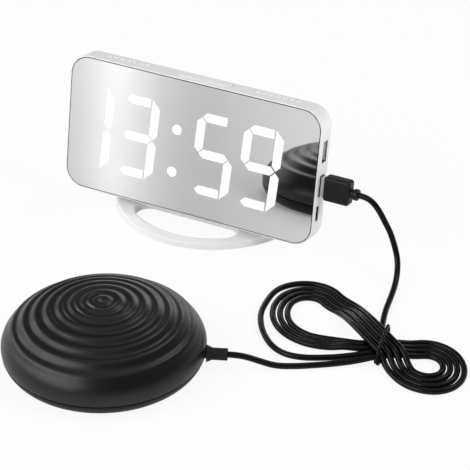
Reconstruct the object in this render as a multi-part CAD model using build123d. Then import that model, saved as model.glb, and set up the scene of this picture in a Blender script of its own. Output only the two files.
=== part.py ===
from build123d import *
import math
import os

os.makedirs("parts", exist_ok=True)

# Clock case, in an upright frame: X across, Y back from the mirror's face, Z up from the mirror's lower edge
mirror_width = 165.0
mirror_height = 82.0
mirror_thickness = 2.0
mirror_corner_radius = 11.5
mirror_gap = 0.5
seal_setback = 0.3
lip_width = 0.7
lip_rounding = 0.4
case_depth = 17.0
case_wall = 1.8
rear_rounding = 5.0
seam_depth = 12.0
lean_back = 10.0
face_front_y = -16.0
face_lift = 9.5

# Display
digit_middle_drop = 0.8
digit_end_margin = 15.25
digit_side_margin = 1.85
digit_gap = 4.8
colon_space = 25.2
colon_shift = 0.55
digit_stroke = 5.6
digit_slant = 3.0
segment_gap = 1.0
colon_dot_radius = 3.2
colon_upper_rise = 10.8
colon_lower_drop = 16.1
inlay_depth = 0.3
cavity_margin = 0.5
shown_digits = "1359"

# Boards behind the display
reflector_left_gap = 2.0
reflector_port_gap = 20.5
reflector_margin = 2.65
reflector_depth = 6.0
led_board_thickness = 1.4
chip_length = 2.8
chip_width = 1.4
chip_height = 0.8
board_to_cell = 18.0
board_side_gap = 1.9
board_inset_low = 1.2
board_inset_high = 1.6
main_board_thickness = 1.6
header_length = 20.0
header_height = 2.5
header_x = 25.0
header_z = 20.0

# Ports in the right-hand side
usb_opening_width = 5.1
usb_opening_height = 12.6
usb_metal = 0.3
usb_length = 14.0
usb_depth = 7.0
usb_upper_drop = 24.4
usb_lower_drop = 2.15
usb_tongue_thickness = 1.7
usb_tongue_width = 11.0
usb_tongue_length = 8.8
usb_tongue_offset = 0.95
inlet_opening_width = 2.6
inlet_opening_height = 8.6
inlet_metal = 0.35
inlet_length = 9.0
inlet_depth = 4.8
inlet_z = 19.7
inlet_tongue_thickness = 0.7
inlet_tongue_width = 6.4
inlet_tongue_length = 5.0
port_setback = 0.4
port_fit = 0.15

# Vent ribs on the top edge
rib_count = 7
rib_pitch = 4.3
rib_width = 1.9
rib_height = 0.5
rib_front = 7.8
rib_back = 11.8
rib_group_left_inset = 33.5
rib_group_right_inset = 32.0

# Buttons and switch
snooze_length = 36.0
snooze_width = 6.0
snooze_x = 3.5
snooze_depth = 6.5
snooze_proud = 0.7
snooze_flange = 1.2
button_diameter = 6.0
button_flange = 1.0
button_flange_thickness = 0.9
button_proud = 0.9
button_fit = 0.3
button_row_drop = 22.0
button_first_inset = 10.0
button_pitch = 14.0
button_names = ("set", "up", "down", "alarm")
flange_rest_gap = 0.1
tact_width = 6.0
tact_height = 1.5
slider_gap = 4.0
slider_travel = 3.0
slider_knob_length = 3.0
slider_knob_width = 2.4
slider_plate_length = 9.6
slider_plate_width = 4.6
slider_plate_thickness = 0.9
slider_proud = 0.8

# Battery, buzzer and fasteners of the clock
cell_diameter = 20.0
cell_thickness = 3.2
cell_inset = 24.5
cell_drop = 7.0
holder_wall = 1.6
holder_floor = 0.8
cell_fit = 0.3
door_size = 26.0
door_corner_radius = 3.0
door_thickness = 1.5
door_ledge = 1.4
door_fit = 0.2
door_groove_count = 5
door_groove_pitch = 2.2
door_groove_length = 9.0
door_groove_width = 0.9
door_groove_depth = 0.5
buzzer_diameter = 13.0
buzzer_height = 2.8
buzzer_inset = 26.5
buzzer_drop = 1.0
buzzer_hole_diameter = 1.6
buzzer_hole_ring = 4.0
buzzer_hole_count = 6
post_inset = 6.5
post_diameter = 9.0
screw_diameter = 2.5
screw_length = 8.0
screw_head_diameter = 5.0
screw_head_height = 1.8
screw_slot = 0.8
screw_slot_length = 3.0
pilot_fit = 0.05
screw_hole_fit = 0.3
head_recess = 0.6
screw_end_gap = 1.0
standoff_diameter = 5.0
standoff_right_inset = 10.5
standoff_right_drop = 34.0
standoff_left_inset = 6.0
standoff_left_z = 30.0

# Ring stand
ring_centre_y = 22.5
ring_outer_radius = 60.5
ring_width = 7.5
ring_thickness = 4.0
ring_edge_rounding = 1.5
bridge_front_y = -6.5
bridge_back_y = 21.0
bridge_corner_radius = 8.0
saddle_width = 64.0
saddle_front_depth = 6.5
saddle_back_depth = 11.5
saddle_foot_y = 9.0
saddle_root = 0.6
tongue_width = 30.0
tongue_thickness = 2.4
tongue_depth = 8.6
tongue_height = 5.5
tongue_fit = 0.15

# Shaker
shaker_x = 28.2
shaker_y = -158.7
shaker_radius = 56.0
shaker_height = 39.4
shaker_equator_z = 11.7
shaker_base_inset = 5.6
shaker_base_z = 0.8
shaker_side_z = 5.2
shaker_side_inset = 1.5
shaker_wall = 2.4
hollow_hip_inset = 11.2
hollow_hip_margin = 1.1
shaker_seam_z = 8.0
seam_groove = 0.6
dome_power = 1.7
dome_root = 1.92
ripple_first_radius = 4.5
ripple_half_pitch = 3.0
ripple_edge_margin = 3.0
ripple_height = 0.55
dimple_radius = 3.6
dimple_depth = 0.9
shell_boss_inset = 16.0
shell_boss_diameter = 7.0
shell_boss_count = 3
shell_boss_turn = 45.0
pad_radius = 7.0
pad_height = 1.6
pad_ring_inset = 18.0
pad_count = 4
pad_turn = 0.0

# Shaker motor, lying along X
motor_diameter = 22.0
motor_length = 30.0
motor_axis_z = 17.5
motor_front_x = 6.0
motor_nose_diameter = 8.0
motor_nose_length = 2.0
shaft_diameter = 2.3
shaft_length = 13.0
shaft_inside = 8.0
shaft_fit = 0.05
weight_radius = 11.0
weight_thickness = 8.0
weight_hub_radius = 3.4
weight_gap = 1.5
cradle_wall = 2.4
cradle_length = 20.0
cradle_fit = 0.1
cradle_foot = 9.0
cradle_foot_thickness = 3.0

# Strain relief and cord
relief_angle = 22.0
relief_length = 11.5
relief_collar_diameter = 6.8
relief_flare_diameter = 9.6
relief_flare_length = 3.0
relief_neck_diameter = 5.6
relief_flange_diameter = 7.4
relief_flange_thickness = 1.6
relief_fit = 0.15
relief_neck_inset = 6.8
cord_diameter = 3.5
cord_floor = 0.0
run_out_of_relief = 7.5
run_into_hank = 7.0
run_out_of_hank = 8.0
run_into_plug = 5.2

# Hank: a figure of eight, flat on the table, tied at its waist
hank_passes = 4
hank_waist = (159.5, -83.0)
hank_pitch = 4.05
level_heading = 14.0
level_bend = 22.0
level_bend_radius = 30.0
bend_before_waist = 11.0
level_past_waist = 4.0
rising_heading = 144.0
rising_short_of_crossing = 1.5
rising_past_waist = 13.0
waist_lift = 2.0
crossing_lift = 4.2
climb_radius = 10.5
descent_radius = 45.0
right_far_turn = 112.0
right_top_radius = 9.8
right_top_step = 4.1
right_low_radius = 9.5
right_low_step = 4.0
left_far_turn = 126.0
left_top_radius = 9.6
left_top_step = 4.1
left_low_radius = 24.8
left_low_step = 4.1
left_outer_spread_low = 3.9
lead_heading = 40.0
lead_bend_radius = 24.0
lead_level_run = 17.0
lead_entry_run = 3.0
tail_before_bend = 3.0
tail_turn = 98.0
tail_turn_radius = 12.0
neighbour_length = 14.0
sample_step = 1.5

# Wire tie round the waist
tie_diameter = 1.8
tie_centre = (160.7, -84.4)
tie_heading = 102.0
tie_north = 15.8
tie_south = 13.4
tie_gap = 0.3
tie_bottom_gap = 0.05
tie_corner_radius = 4.0
tie_twist_diameter = 3.0
tie_twist_length = 3.4

# Plug in the lower outlet
plug_metal_width = 4.5
plug_metal_height = 12.0
plug_metal_wall = 0.3
plug_metal_inside = 11.0
plug_metal_showing = 3.0
plug_metal_root = 3.0
insulator_length = 10.4
insulator_fit = 0.05
plug_body_length = 16.6
plug_body_width = 8.0
plug_body_height = 15.0
plug_body_rounding = 1.8
boot_neck_length = 1.8
boot_neck_diameter = 5.4
boot_collar_length = 2.8
boot_collar_diameter = 6.8
boot_collar_rounding = 0.5
boot_length = boot_neck_length + boot_collar_length

clock_frame = Pos(0, face_front_y, face_lift) * Rot(-lean_back, 0, 0)
shaker_frame = Pos(shaker_x, shaker_y, 0)
rim = mirror_gap + lip_width
case_side_x = mirror_width / 2 + rim
case_bottom = -rim
case_top = mirror_height + rim
rear_wall_front = case_depth - case_wall
reflector_back = mirror_thickness + reflector_depth
led_board_back = reflector_back + led_board_thickness
reflector_left = reflector_left_gap - mirror_width / 2
reflector_right = mirror_width / 2 - reflector_port_gap
reflector_length = reflector_right - reflector_left
digits_length = reflector_length - 2 * digit_side_margin - colon_space - 2 * digit_gap
digit_width = digits_length / 4
digit_height = mirror_height - 2 * digit_end_margin
digit_middle_z = mirror_height / 2 - digit_middle_drop
inner_digit_offset = (colon_space + digit_width) / 2
outer_digit_offset = inner_digit_offset + digit_width + digit_gap
colon_x = (reflector_left + reflector_right) / 2 - colon_shift
colon_upper_z = digit_middle_z + colon_upper_rise
colon_lower_z = digit_middle_z - colon_lower_drop
reflector_bottom = digit_middle_z - digit_height / 2 - reflector_margin
reflector_top = digit_middle_z + digit_height / 2 + reflector_margin
cell_x = cell_inset - mirror_width / 2
cell_z = mirror_height / 2 - cell_drop
buzzer_x = mirror_width / 2 - buzzer_inset
buzzer_z = mirror_height / 2 - buzzer_drop
main_board_left = cell_x + board_to_cell
main_board_right = mirror_width / 2 - board_side_gap
main_board_bottom = reflector_bottom + board_inset_low
main_board_top = reflector_top - board_inset_high
button_first_x = main_board_left + button_first_inset
button_row_z = mirror_height - button_row_drop
slider_x = button_first_x + len(button_names) * button_pitch + slider_gap
usb_upper_z = mirror_height - usb_upper_drop
usb_lower_z = (usb_upper_z + inlet_z) / 2 - usb_lower_drop
standoff_first = (mirror_width / 2 - standoff_right_inset, mirror_height - standoff_right_drop)
standoff_second = (main_board_left + standoff_left_inset, standoff_left_z)
rib_group_left_x = rib_group_left_inset - mirror_width / 2
rib_group_right_x = mirror_width / 2 - rib_group_right_inset
ring_inner_radius = ring_outer_radius - ring_width
shaker_base_radius = shaker_radius - shaker_base_inset
shaker_side_radius = shaker_radius - shaker_side_inset
shell_boss_radius = shaker_radius - shell_boss_inset
pad_ring_radius = shaker_radius - pad_ring_inset
relief_reach = shaker_radius + relief_length
relief_neck_inside = shaker_radius - relief_neck_inset
port_half_depth = usb_opening_width / 2 + usb_metal
main_board_front = usb_depth + port_half_depth
main_board_back = main_board_front + main_board_thickness
rippled_width = shaker_radius - ripple_edge_margin - ripple_first_radius
ripple_count = math.floor(rippled_width / ripple_half_pitch)


def box_between(low, high):
    """A box from its low corner to its high corner."""
    size = [end - start for start, end in zip(low, high)]
    return Pos(*low) * Box(*size, align=Align.MIN)


def point_in(frame, x, y, z):
    """Where a point of a frame lies."""
    return (frame * Pos(x, y, z)).position


def backward(sketch, front, back):
    """A sketch drawn in the XZ plane, taken back along Y from one depth to another."""
    return Pos(0, front, 0) * extrude(Plane.XZ * sketch, amount=front - back)


def rod_back(x, z, diameter, front, back):
    """A round rod along Y between two depths."""
    return backward(Pos(x, z) * Circle(diameter / 2), front, back)


def save(name, shape, place=None):
    """Write one node, moved to its place."""
    placed = shape if place is None else place * shape
    placed.label = name
    export_step(placed, f"parts/{name}.step")


def case_outline(grow):
    """The case's outline from the front, at the mirror's edge when grow is nil."""
    outline = RectangleRounded(
        mirror_width + 2 * grow, mirror_height + 2 * grow, mirror_corner_radius + grow
    )
    return Pos(0, mirror_height / 2) * outline


def case_block(grow, front, back, rounding):
    """A block of the case's outline with its rear edge rounded."""
    block = backward(case_outline(grow), 0, back)
    rear_edges = block.edges().group_by(Axis.Y)[-1]
    return fillet(rear_edges, rounding) - backward(case_outline(2 * rim), 0, front)


# Front frame: lip, straight sides, ports, vent ribs and the slot of the stand's tongue
post_places = [
    (side * (mirror_width / 2 - post_inset), level)
    for side in (-1, 1)
    for level in (post_inset, mirror_height - post_inset)
]


def port_opening(depth, height, width, length):
    """The cut in the right-hand wall round one port."""
    reach = case_wall + 2 * mirror_gap
    cut = Box(2 * reach, width + 2 * port_fit, length + 2 * port_fit)
    return Pos(case_side_x, depth, height) * cut


def rib_group(middle_x):
    """Raised ribs across the top edge."""
    grown = backward(case_outline(rim + rib_height), rib_front, rib_back)
    slabs = None
    for number in range(rib_count):
        x = middle_x + (number - (rib_count - 1) / 2) * rib_pitch
        slab = box_between(
            (x - rib_width / 2, rib_front, case_top - case_wall / 2),
            (x + rib_width / 2, rib_back, case_top + 2 * rib_height),
        )
        slabs = slab if slabs is None else slabs + slab
    return grown & slabs


def front_frame():
    frame = backward(case_outline(rim), 0, seam_depth)
    frame = fillet(frame.edges().group_by(Axis.Y)[0], lip_rounding)
    frame -= backward(case_outline(mirror_gap), 0, mirror_thickness)
    cavity = backward(case_outline(rim - case_wall), mirror_thickness, seam_depth)
    posts = None
    for x, z in post_places:
        post = rod_back(x, z, post_diameter, mirror_thickness, seam_depth)
        posts = post if posts is None else posts + post
    bored = posts & cavity
    for x, z in post_places:
        start = seam_depth - screw_length
        bored -= rod_back(x, z, screw_diameter + 2 * pilot_fit, start, seam_depth)
    frame = frame - cavity + bored
    usb_width = usb_opening_width + 2 * usb_metal
    usb_height = usb_opening_height + 2 * usb_metal
    for level in (usb_upper_z, usb_lower_z):
        frame -= port_opening(usb_depth, level, usb_width, usb_height)
    inlet_width = inlet_opening_width + 2 * inlet_metal
    inlet_height = inlet_opening_height + 2 * inlet_metal
    frame -= port_opening(inlet_depth, inlet_z, inlet_width, inlet_height)
    frame += rib_group(rib_group_left_x) + rib_group(rib_group_right_x)
    top_slot = SlotOverall(snooze_length + 2 * button_fit, snooze_width + 2 * button_fit)
    top_slot = Pos(snooze_x, snooze_depth) * top_slot
    frame -= Pos(0, 0, case_top - 2 * case_wall) * extrude(top_slot, amount=4 * case_wall)
    tongue_slot = Box(
        tongue_width + 2 * tongue_fit, tongue_thickness + 2 * tongue_fit, 4 * case_wall
    )
    return frame - Pos(0, tongue_depth, case_bottom) * tongue_slot


def rear_cover():
    outer = case_block(rim, seam_depth, case_depth, rear_rounding)
    inner = case_block(
        rim - case_wall, seam_depth, rear_wall_front, rear_rounding - case_wall
    )
    cover = outer - inner
    for x, z in post_places:
        boss = rod_back(x, z, post_diameter, seam_depth, rear_wall_front + case_wall / 2)
        cover += boss & case_block(rim - case_wall / 2, seam_depth, case_depth, rear_rounding)
    for x, z in (standoff_first, standoff_second):
        cover += rod_back(x, z, standoff_diameter, main_board_back, rear_wall_front)
    head_seat = case_depth - screw_head_height - head_recess
    for x, z in post_places:
        cover -= rod_back(x, z, screw_diameter + 2 * screw_hole_fit, seam_depth, case_depth)
        seat = screw_head_diameter + 2 * screw_hole_fit
        cover -= rod_back(x, z, seat, head_seat, case_depth)
    for number in range(len(button_names)):
        x = button_first_x + number * button_pitch
        hole = button_diameter + 2 * button_fit
        cover -= rod_back(x, button_row_z, hole, rear_wall_front, case_depth)
    slot = SlotOverall(
        slider_knob_length + slider_travel + 2 * button_fit + slider_knob_width,
        slider_knob_width + 2 * button_fit,
    )
    slot = Pos(slider_x + slider_travel / 2, button_row_z) * slot
    cover -= backward(slot, rear_wall_front, case_depth)
    door_hole = RectangleRounded(
        door_size + 2 * door_fit, door_size + 2 * door_fit, door_corner_radius + door_fit
    )
    door_hole = Pos(cell_x, cell_z) * door_hole
    cover -= backward(door_hole, case_depth - door_thickness, case_depth)
    hatch = RectangleRounded(
        door_size - 2 * door_ledge, door_size - 2 * door_ledge, door_corner_radius - door_ledge
    )
    cover -= backward(Pos(cell_x, cell_z) * hatch, rear_wall_front, case_depth)
    for number in range(buzzer_hole_count):
        turn = math.radians(number * 360 / buzzer_hole_count)
        x = buzzer_x + buzzer_hole_ring * math.cos(turn)
        z = buzzer_z + buzzer_hole_ring * math.sin(turn)
        cover -= rod_back(x, z, buzzer_hole_diameter, rear_wall_front, case_depth)
    return cover - rod_back(
        buzzer_x, buzzer_z, buzzer_hole_diameter, rear_wall_front, case_depth
    )


save("front_frame", front_frame(), clock_frame)
save("rear_cover", rear_cover(), clock_frame)


# Display: mirror with its dark seal, lit segments, reflector, LED board and its chips
half_width = digit_width / 2
half_height = digit_height / 2
bar_reach_x = half_width - digit_stroke / 2
bar_reach_z = half_height - digit_stroke / 2
across_length = 2 * bar_reach_x - segment_gap
upright_length = bar_reach_z - segment_gap
segment_places = {
    "a": (0, bar_reach_z, False),
    "b": (bar_reach_x, bar_reach_z / 2, True),
    "c": (bar_reach_x, -bar_reach_z / 2, True),
    "d": (0, -bar_reach_z, False),
    "e": (-bar_reach_x, -bar_reach_z / 2, True),
    "f": (-bar_reach_x, bar_reach_z / 2, True),
    "g": (0, 0, False),
}
lit_by_digit = {"1": "bc", "3": "abcdg", "5": "acdfg", "9": "abcdfg"}
digit_places = [
    colon_x - outer_digit_offset,
    colon_x - inner_digit_offset,
    colon_x + inner_digit_offset,
    colon_x + outer_digit_offset,
]


def segment_face(digit_x, letter, margin):
    """One bar leaning with the digit: pointed, butted or running to the digit's corner at its far end."""
    centre_x, centre_z, upright = segment_places[letter]
    half_stroke = digit_stroke / 2 + margin
    half_bar = (upright_length if upright else across_length) / 2 + margin
    shoulder = half_bar - half_stroke
    near_end = [(-shoulder, half_stroke), (-half_bar, 0), (-shoulder, -half_stroke)]
    if letter in "ad":
        butt = half_width - digit_stroke - segment_gap + margin
        far_end = [(butt, -half_stroke), (butt, half_stroke)]
    elif letter in "bc":
        corner = half_height - abs(centre_z) + margin
        far_end = [(corner, -half_stroke), (corner - digit_stroke, half_stroke)]
    else:
        far_end = [(shoulder, -half_stroke), (half_bar, 0), (shoulder, half_stroke)]
    outward = -1 if centre_z < 0 else 1
    bar = near_end + far_end
    if upright and outward > 0:
        bar.reverse()
    lean = math.tan(math.radians(digit_slant))
    corners = []
    for along, across in bar:
        x = centre_x + (across if upright else along)
        z = centre_z + (outward * along if upright else across)
        corners.append((digit_x + x + z * lean, digit_middle_z + z))
    return Polygon(*corners, align=None)


def colon_faces(margin):
    lean = math.tan(math.radians(digit_slant))
    faces = []
    for level in (colon_upper_z, colon_lower_z):
        x = colon_x + (level - digit_middle_z) * lean
        faces.append(Pos(x, level) * Circle(colon_dot_radius + margin))
    return faces


lit_faces = colon_faces(0)
for digit_x, figure in zip(digit_places, shown_digits):
    for letter in lit_by_digit[figure]:
        lit_faces.append(segment_face(digit_x, letter, 0))
all_faces = colon_faces(cavity_margin - segment_gap / 2)
for digit_x in digit_places:
    for letter in segment_places:
        all_faces.append(segment_face(digit_x, letter, cavity_margin - segment_gap / 2))
lit_inlays = [backward(face, 0, inlay_depth) for face in lit_faces]
mirror_panel = backward(case_outline(0), 0, mirror_thickness) - lit_inlays
seal_outline = case_outline(mirror_gap) - case_outline(0)
mirror_seal = backward(seal_outline, seal_setback, mirror_thickness)
reflector = box_between(
    (reflector_left, mirror_thickness, reflector_bottom),
    (reflector_right, reflector_back, reflector_top),
)
reflector -= [backward(face, mirror_thickness, reflector_back) for face in all_faces]
led_board = box_between(
    (reflector_left, reflector_back, reflector_bottom),
    (reflector_right, led_board_back, reflector_top),
)
chips = []
for face in all_faces:
    middle = face.center()
    chip = Box(chip_length, chip_height, chip_width)
    chips.append(Pos(middle.X, reflector_back - chip_height / 2, middle.Y) * chip)
save("mirror_panel", mirror_panel, clock_frame)
save("mirror_seal", mirror_seal, clock_frame)
save("lit_segments", Compound(lit_inlays), clock_frame)
save("segment_reflector", reflector, clock_frame)
save("led_board", led_board, clock_frame)
save("led_chips", Compound(chips), clock_frame)


# Main board with its ports, switches and buzzer
def usb_port():
    """An outlet shell with its back wall and tongue, mouth at the origin, facing +X."""
    outer = Box(
        usb_length,
        usb_opening_width + 2 * usb_metal,
        usb_opening_height + 2 * usb_metal,
        align=(Align.MAX, Align.CENTER, Align.CENTER),
    )
    hollow = Box(
        usb_length - usb_metal,
        usb_opening_width,
        usb_opening_height,
        align=(Align.MAX, Align.CENTER, Align.CENTER),
    )
    tongue = Box(
        usb_tongue_length,
        usb_tongue_thickness,
        usb_tongue_width,
        align=(Align.MIN, Align.CENTER, Align.CENTER),
    )
    return outer - hollow + Pos(-usb_length, usb_tongue_offset, 0) * tongue


def power_inlet():
    """A small round-ended inlet shell on a foot that stands on the main board."""
    outer = SlotOverall(
        inlet_opening_height + 2 * inlet_metal, inlet_opening_width + 2 * inlet_metal
    )
    hollow = SlotOverall(inlet_opening_height, inlet_opening_width)
    mouth_plane = Plane(origin=(0, 0, 0), x_dir=(0, 0, 1), z_dir=(1, 0, 0))
    shell = extrude(mouth_plane * outer, amount=-inlet_length)
    shell -= extrude(mouth_plane * hollow, amount=inlet_metal - inlet_length)
    tongue = Box(
        inlet_tongue_length,
        inlet_tongue_thickness,
        inlet_tongue_width,
        align=(Align.MIN, Align.CENTER, Align.CENTER),
    )
    shell += Pos(-inlet_length, 0, 0) * tongue
    half_shell = inlet_opening_width / 2 + inlet_metal
    foot = box_between(
        (-inlet_length, half_shell - inlet_metal, -inlet_opening_height / 2),
        (-inlet_length / 2, main_board_front - inlet_depth, inlet_opening_height / 2),
    )
    return shell + foot


port_face_x = case_side_x - port_setback
main_board = box_between(
    (main_board_left, main_board_front, main_board_bottom),
    (main_board_right, main_board_back, main_board_top),
)
pin_header = box_between(
    (header_x - header_length / 2, led_board_back, header_z - header_height / 2),
    (header_x + header_length / 2, main_board_front, header_z + header_height / 2),
)
switches = []
for number in range(len(button_names)):
    switch = box_between((0, 0, 0), (tact_width, tact_height, tact_width))
    x = button_first_x + number * button_pitch - tact_width / 2
    switches.append(Pos(x, main_board_back, button_row_z - tact_width / 2) * switch)
buzzer = rod_back(
    buzzer_x, buzzer_z, buzzer_diameter, main_board_back, main_board_back + buzzer_height
)
save("usb_port_upper", Pos(port_face_x, usb_depth, usb_upper_z) * usb_port(), clock_frame)
save("usb_port_lower", Pos(port_face_x, usb_depth, usb_lower_z) * usb_port(), clock_frame)
save("power_inlet", Pos(port_face_x, inlet_depth, inlet_z) * power_inlet(), clock_frame)
save("main_board", main_board, clock_frame)
save("pin_header", pin_header, clock_frame)
save("tact_switches", Compound(switches), clock_frame)
save("buzzer", buzzer, clock_frame)


# Coin cell in its holder behind the battery door
holder_outer = cell_diameter + 2 * (cell_fit + holder_wall)
cell_front = rear_wall_front - cell_thickness - 2 * cell_fit
cell_holder = rod_back(cell_x, cell_z, holder_outer, cell_front - holder_floor, rear_wall_front)
cell_holder -= rod_back(
    cell_x, cell_z, cell_diameter + 2 * cell_fit, cell_front, rear_wall_front
)
coin_cell = rod_back(cell_x, cell_z, cell_diameter, cell_front, cell_front + cell_thickness)
door_face = RectangleRounded(door_size, door_size, door_corner_radius)
battery_door = backward(
    Pos(cell_x, cell_z) * door_face, case_depth - door_thickness, case_depth
)
for number in range(door_groove_count):
    groove_z = cell_z + (number - (door_groove_count - 1) / 2) * door_groove_pitch
    groove = Box(door_groove_length, 2 * door_groove_depth, door_groove_width)
    battery_door -= Pos(cell_x, case_depth, groove_z) * groove
save("cell_holder", cell_holder, clock_frame)
save("coin_cell", coin_cell, clock_frame)
save("battery_door", battery_door, clock_frame)


def cross_screw(diameter, length, head_diameter, head_height):
    """A pan-head screw along +Z, its head's seat at the origin, with a cross in the head."""
    shank = Cylinder(diameter / 2, length, align=(Align.CENTER, Align.CENTER, Align.MAX))
    head = Cylinder(
        head_diameter / 2, head_height, align=(Align.CENTER, Align.CENTER, Align.MIN)
    )
    head = fillet(head.edges().group_by(Axis.Z)[-1], head_height / 2)
    slot = Box(screw_slot_length, screw_slot, head_height)
    cross = Pos(0, 0, head_height) * (slot + Rot(0, 0, 90) * slot)
    return shank + head - cross


head_seat_depth = case_depth - screw_head_height - head_recess
case_screw_length = head_seat_depth - seam_depth + screw_length - screw_end_gap
case_screws = []
for x, z in post_places:
    screw = cross_screw(
        screw_diameter, case_screw_length, screw_head_diameter, screw_head_height
    )
    case_screws.append(Pos(x, head_seat_depth, z) * Rot(-90, 0, 0) * screw)
save("case_screws", Compound(case_screws), clock_frame)


# Buttons and slide switch knob
snooze_cap = SlotOverall(snooze_length, snooze_width)
snooze_skirt = SlotOverall(snooze_length + 2 * snooze_flange, snooze_width + 2 * snooze_flange)
flange_top = case_top - case_wall - flange_rest_gap
snooze = Pos(0, 0, flange_top) * extrude(
    snooze_cap, amount=case_wall + flange_rest_gap + snooze_proud
)
snooze = fillet(snooze.edges().group_by(Axis.Z)[-1], snooze_proud / 2)
snooze += Pos(0, 0, flange_top) * extrude(snooze_skirt, amount=-snooze_flange)
save("snooze_button", Pos(snooze_x, snooze_depth, 0) * snooze, clock_frame)


def rear_button(x):
    flange_back = rear_wall_front - flange_rest_gap
    cap = rod_back(x, button_row_z, button_diameter, flange_back, case_depth + button_proud)
    cap = fillet(cap.edges().group_by(Axis.Y)[-1], button_proud / 2)
    skirt = button_diameter + 2 * button_flange
    return cap + rod_back(
        x, button_row_z, skirt, flange_back - button_flange_thickness, flange_back
    )


for number, name in enumerate(button_names):
    x = button_first_x + number * button_pitch
    save(f"{name}_button", rear_button(x), clock_frame)

plate_back = rear_wall_front - flange_rest_gap
slider_knob = Box(
    slider_knob_length,
    case_depth + slider_proud - plate_back,
    slider_knob_width,
    align=(Align.CENTER, Align.MIN, Align.CENTER),
)
slider_plate = Box(
    slider_plate_length,
    slider_plate_thickness,
    slider_plate_width,
    align=(Align.CENTER, Align.MAX, Align.CENTER),
)
slider = Pos(slider_x, plate_back, button_row_z) * (slider_knob + slider_plate)
save("slider_knob", slider, clock_frame)


# Ring stand: ring, bridge, saddle under the clock and the tongue in its slot
def stand_ring():
    ring = Circle(ring_outer_radius) - Circle(ring_inner_radius)
    bridge_depth = bridge_back_y - bridge_front_y
    bridge_middle = (bridge_back_y + bridge_front_y) / 2 - ring_centre_y
    bridge = Pos(0, bridge_middle) * Rectangle(2 * ring_outer_radius, bridge_depth)
    plan = ring + (bridge & Circle(ring_outer_radius))
    corners = plan.vertices().filter_by(
        lambda v: abs(math.hypot(v.X, v.Y) - ring_inner_radius) < 0.01
    )
    plan = fillet(corners, bridge_corner_radius)
    base = extrude(plan, amount=ring_thickness)
    base = fillet(base.edges().group_by(Axis.Z)[-1], ring_edge_rounding)
    base = Pos(0, ring_centre_y, 0) * base
    seat_front = point_in(clock_frame, 0, saddle_front_depth, case_bottom)
    seat_back = point_in(clock_frame, 0, saddle_back_depth, case_bottom)
    root_z = ring_thickness - saddle_root
    side = Plane.YZ * Polygon(
        (bridge_front_y + ring_edge_rounding, root_z),
        (seat_front.Y, seat_front.Z),
        (seat_back.Y, seat_back.Z),
        (saddle_foot_y, root_z),
        align=None,
    )
    saddle = extrude(side, amount=saddle_width / 2, both=True)
    tongue = box_between(
        (-tongue_width / 2, tongue_depth - tongue_thickness / 2, case_bottom - saddle_root),
        (tongue_width / 2, tongue_depth + tongue_thickness / 2, tongue_height),
    )
    return base + saddle + clock_frame * tongue


save("stand_ring", stand_ring())


# Shaker shells: one turned form, hollowed and parted at the seam
def dome_height(radius):
    """Height of the smooth dome at a radius."""
    share = 1 - (radius / shaker_radius) ** dome_power
    return shaker_equator_z + (shaker_height - shaker_equator_z) * share ** (1 / dome_root)


def dome_point(radius, rise=0.0):
    return (radius, 0, dome_height(radius) + rise)


def shaker_outer():
    lines = []
    floor_z = dome_height(0) - dimple_depth
    lines.append(Line((0, 0, floor_z), (dimple_radius, 0, floor_z)))
    lines.append(Line((dimple_radius, 0, floor_z), dome_point(ripple_first_radius)))
    for number in range(ripple_count):
        start = ripple_first_radius + number * ripple_half_pitch
        rise = ripple_height if number % 2 == 0 else -ripple_height
        middle = dome_point(start + ripple_half_pitch / 2, rise)
        end = dome_point(start + ripple_half_pitch)
        lines.append(ThreePointArc(dome_point(start), middle, end))
    edge = ripple_first_radius + ripple_count * ripple_half_pitch
    shoulder = shaker_radius - (shaker_radius - edge) / 4
    equator = (shaker_radius, 0, shaker_equator_z)
    base = (shaker_base_radius, 0, shaker_base_z)
    lines.append(ThreePointArc(dome_point(edge), dome_point(shoulder), equator))
    lines.append(ThreePointArc(equator, (shaker_side_radius, 0, shaker_side_z), base))
    lines.append(Line(base, (0, 0, shaker_base_z)))
    lines.append(Line((0, 0, shaker_base_z), (0, 0, floor_z)))
    return revolve(make_face(lines), Axis.Z)


def shaker_inner():
    drop = shaker_wall + ripple_height
    crown = (0, 0, dome_height(0) - drop - dimple_depth)
    slope_radius = (shaker_radius - hollow_hip_inset) / 2
    slope = dome_point(slope_radius, -drop - ripple_height)
    hip = dome_point(shaker_radius - hollow_hip_inset, -drop - hollow_hip_margin)
    equator = (shaker_radius - shaker_wall, 0, shaker_equator_z)
    side = (shaker_side_radius - shaker_wall, 0, shaker_side_z + shaker_wall / 2)
    base = (shaker_base_radius - shaker_wall, 0, shaker_base_z + shaker_wall)
    lines = [
        ThreePointArc(crown, slope, hip),
        Line(hip, equator),
        ThreePointArc(equator, side, base),
        Line(base, (0, 0, base[2])),
        Line((0, 0, base[2]), crown),
    ]
    return revolve(make_face(lines), Axis.Z)


shell_form = shaker_outer()
shell_hollow = shaker_inner()
above_seam = box_between(
    (-2 * shaker_radius, -2 * shaker_radius, shaker_seam_z),
    (2 * shaker_radius, 2 * shaker_radius, 2 * shaker_height),
)
floor_top = shaker_base_z + shaker_wall
boss_places = []
for number in range(shell_boss_count):
    turn = math.radians(shell_boss_turn + number * 360 / shell_boss_count)
    boss_places.append((shell_boss_radius * math.cos(turn), shell_boss_radius * math.sin(turn)))
relief_out = Rot(0, 0, relief_angle)
relief_hole = Rot(0, 90, 0) * Cylinder(
    relief_neck_diameter / 2 + relief_fit,
    shaker_radius,
    align=(Align.CENTER, Align.CENTER, Align.MIN),
)
relief_hole = relief_out * Pos(shaker_radius / 2, 0, shaker_seam_z) * relief_hole
seam_cut = Pos(0, 0, shaker_seam_z) * (
    Cylinder(2 * shaker_radius, seam_groove)
    - Cylinder(shaker_radius - seam_groove - (shaker_radius - shaker_side_radius), seam_groove)
)
pilot = screw_diameter / 2 + pilot_fit
clear_hole = screw_diameter / 2 + screw_hole_fit
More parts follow.
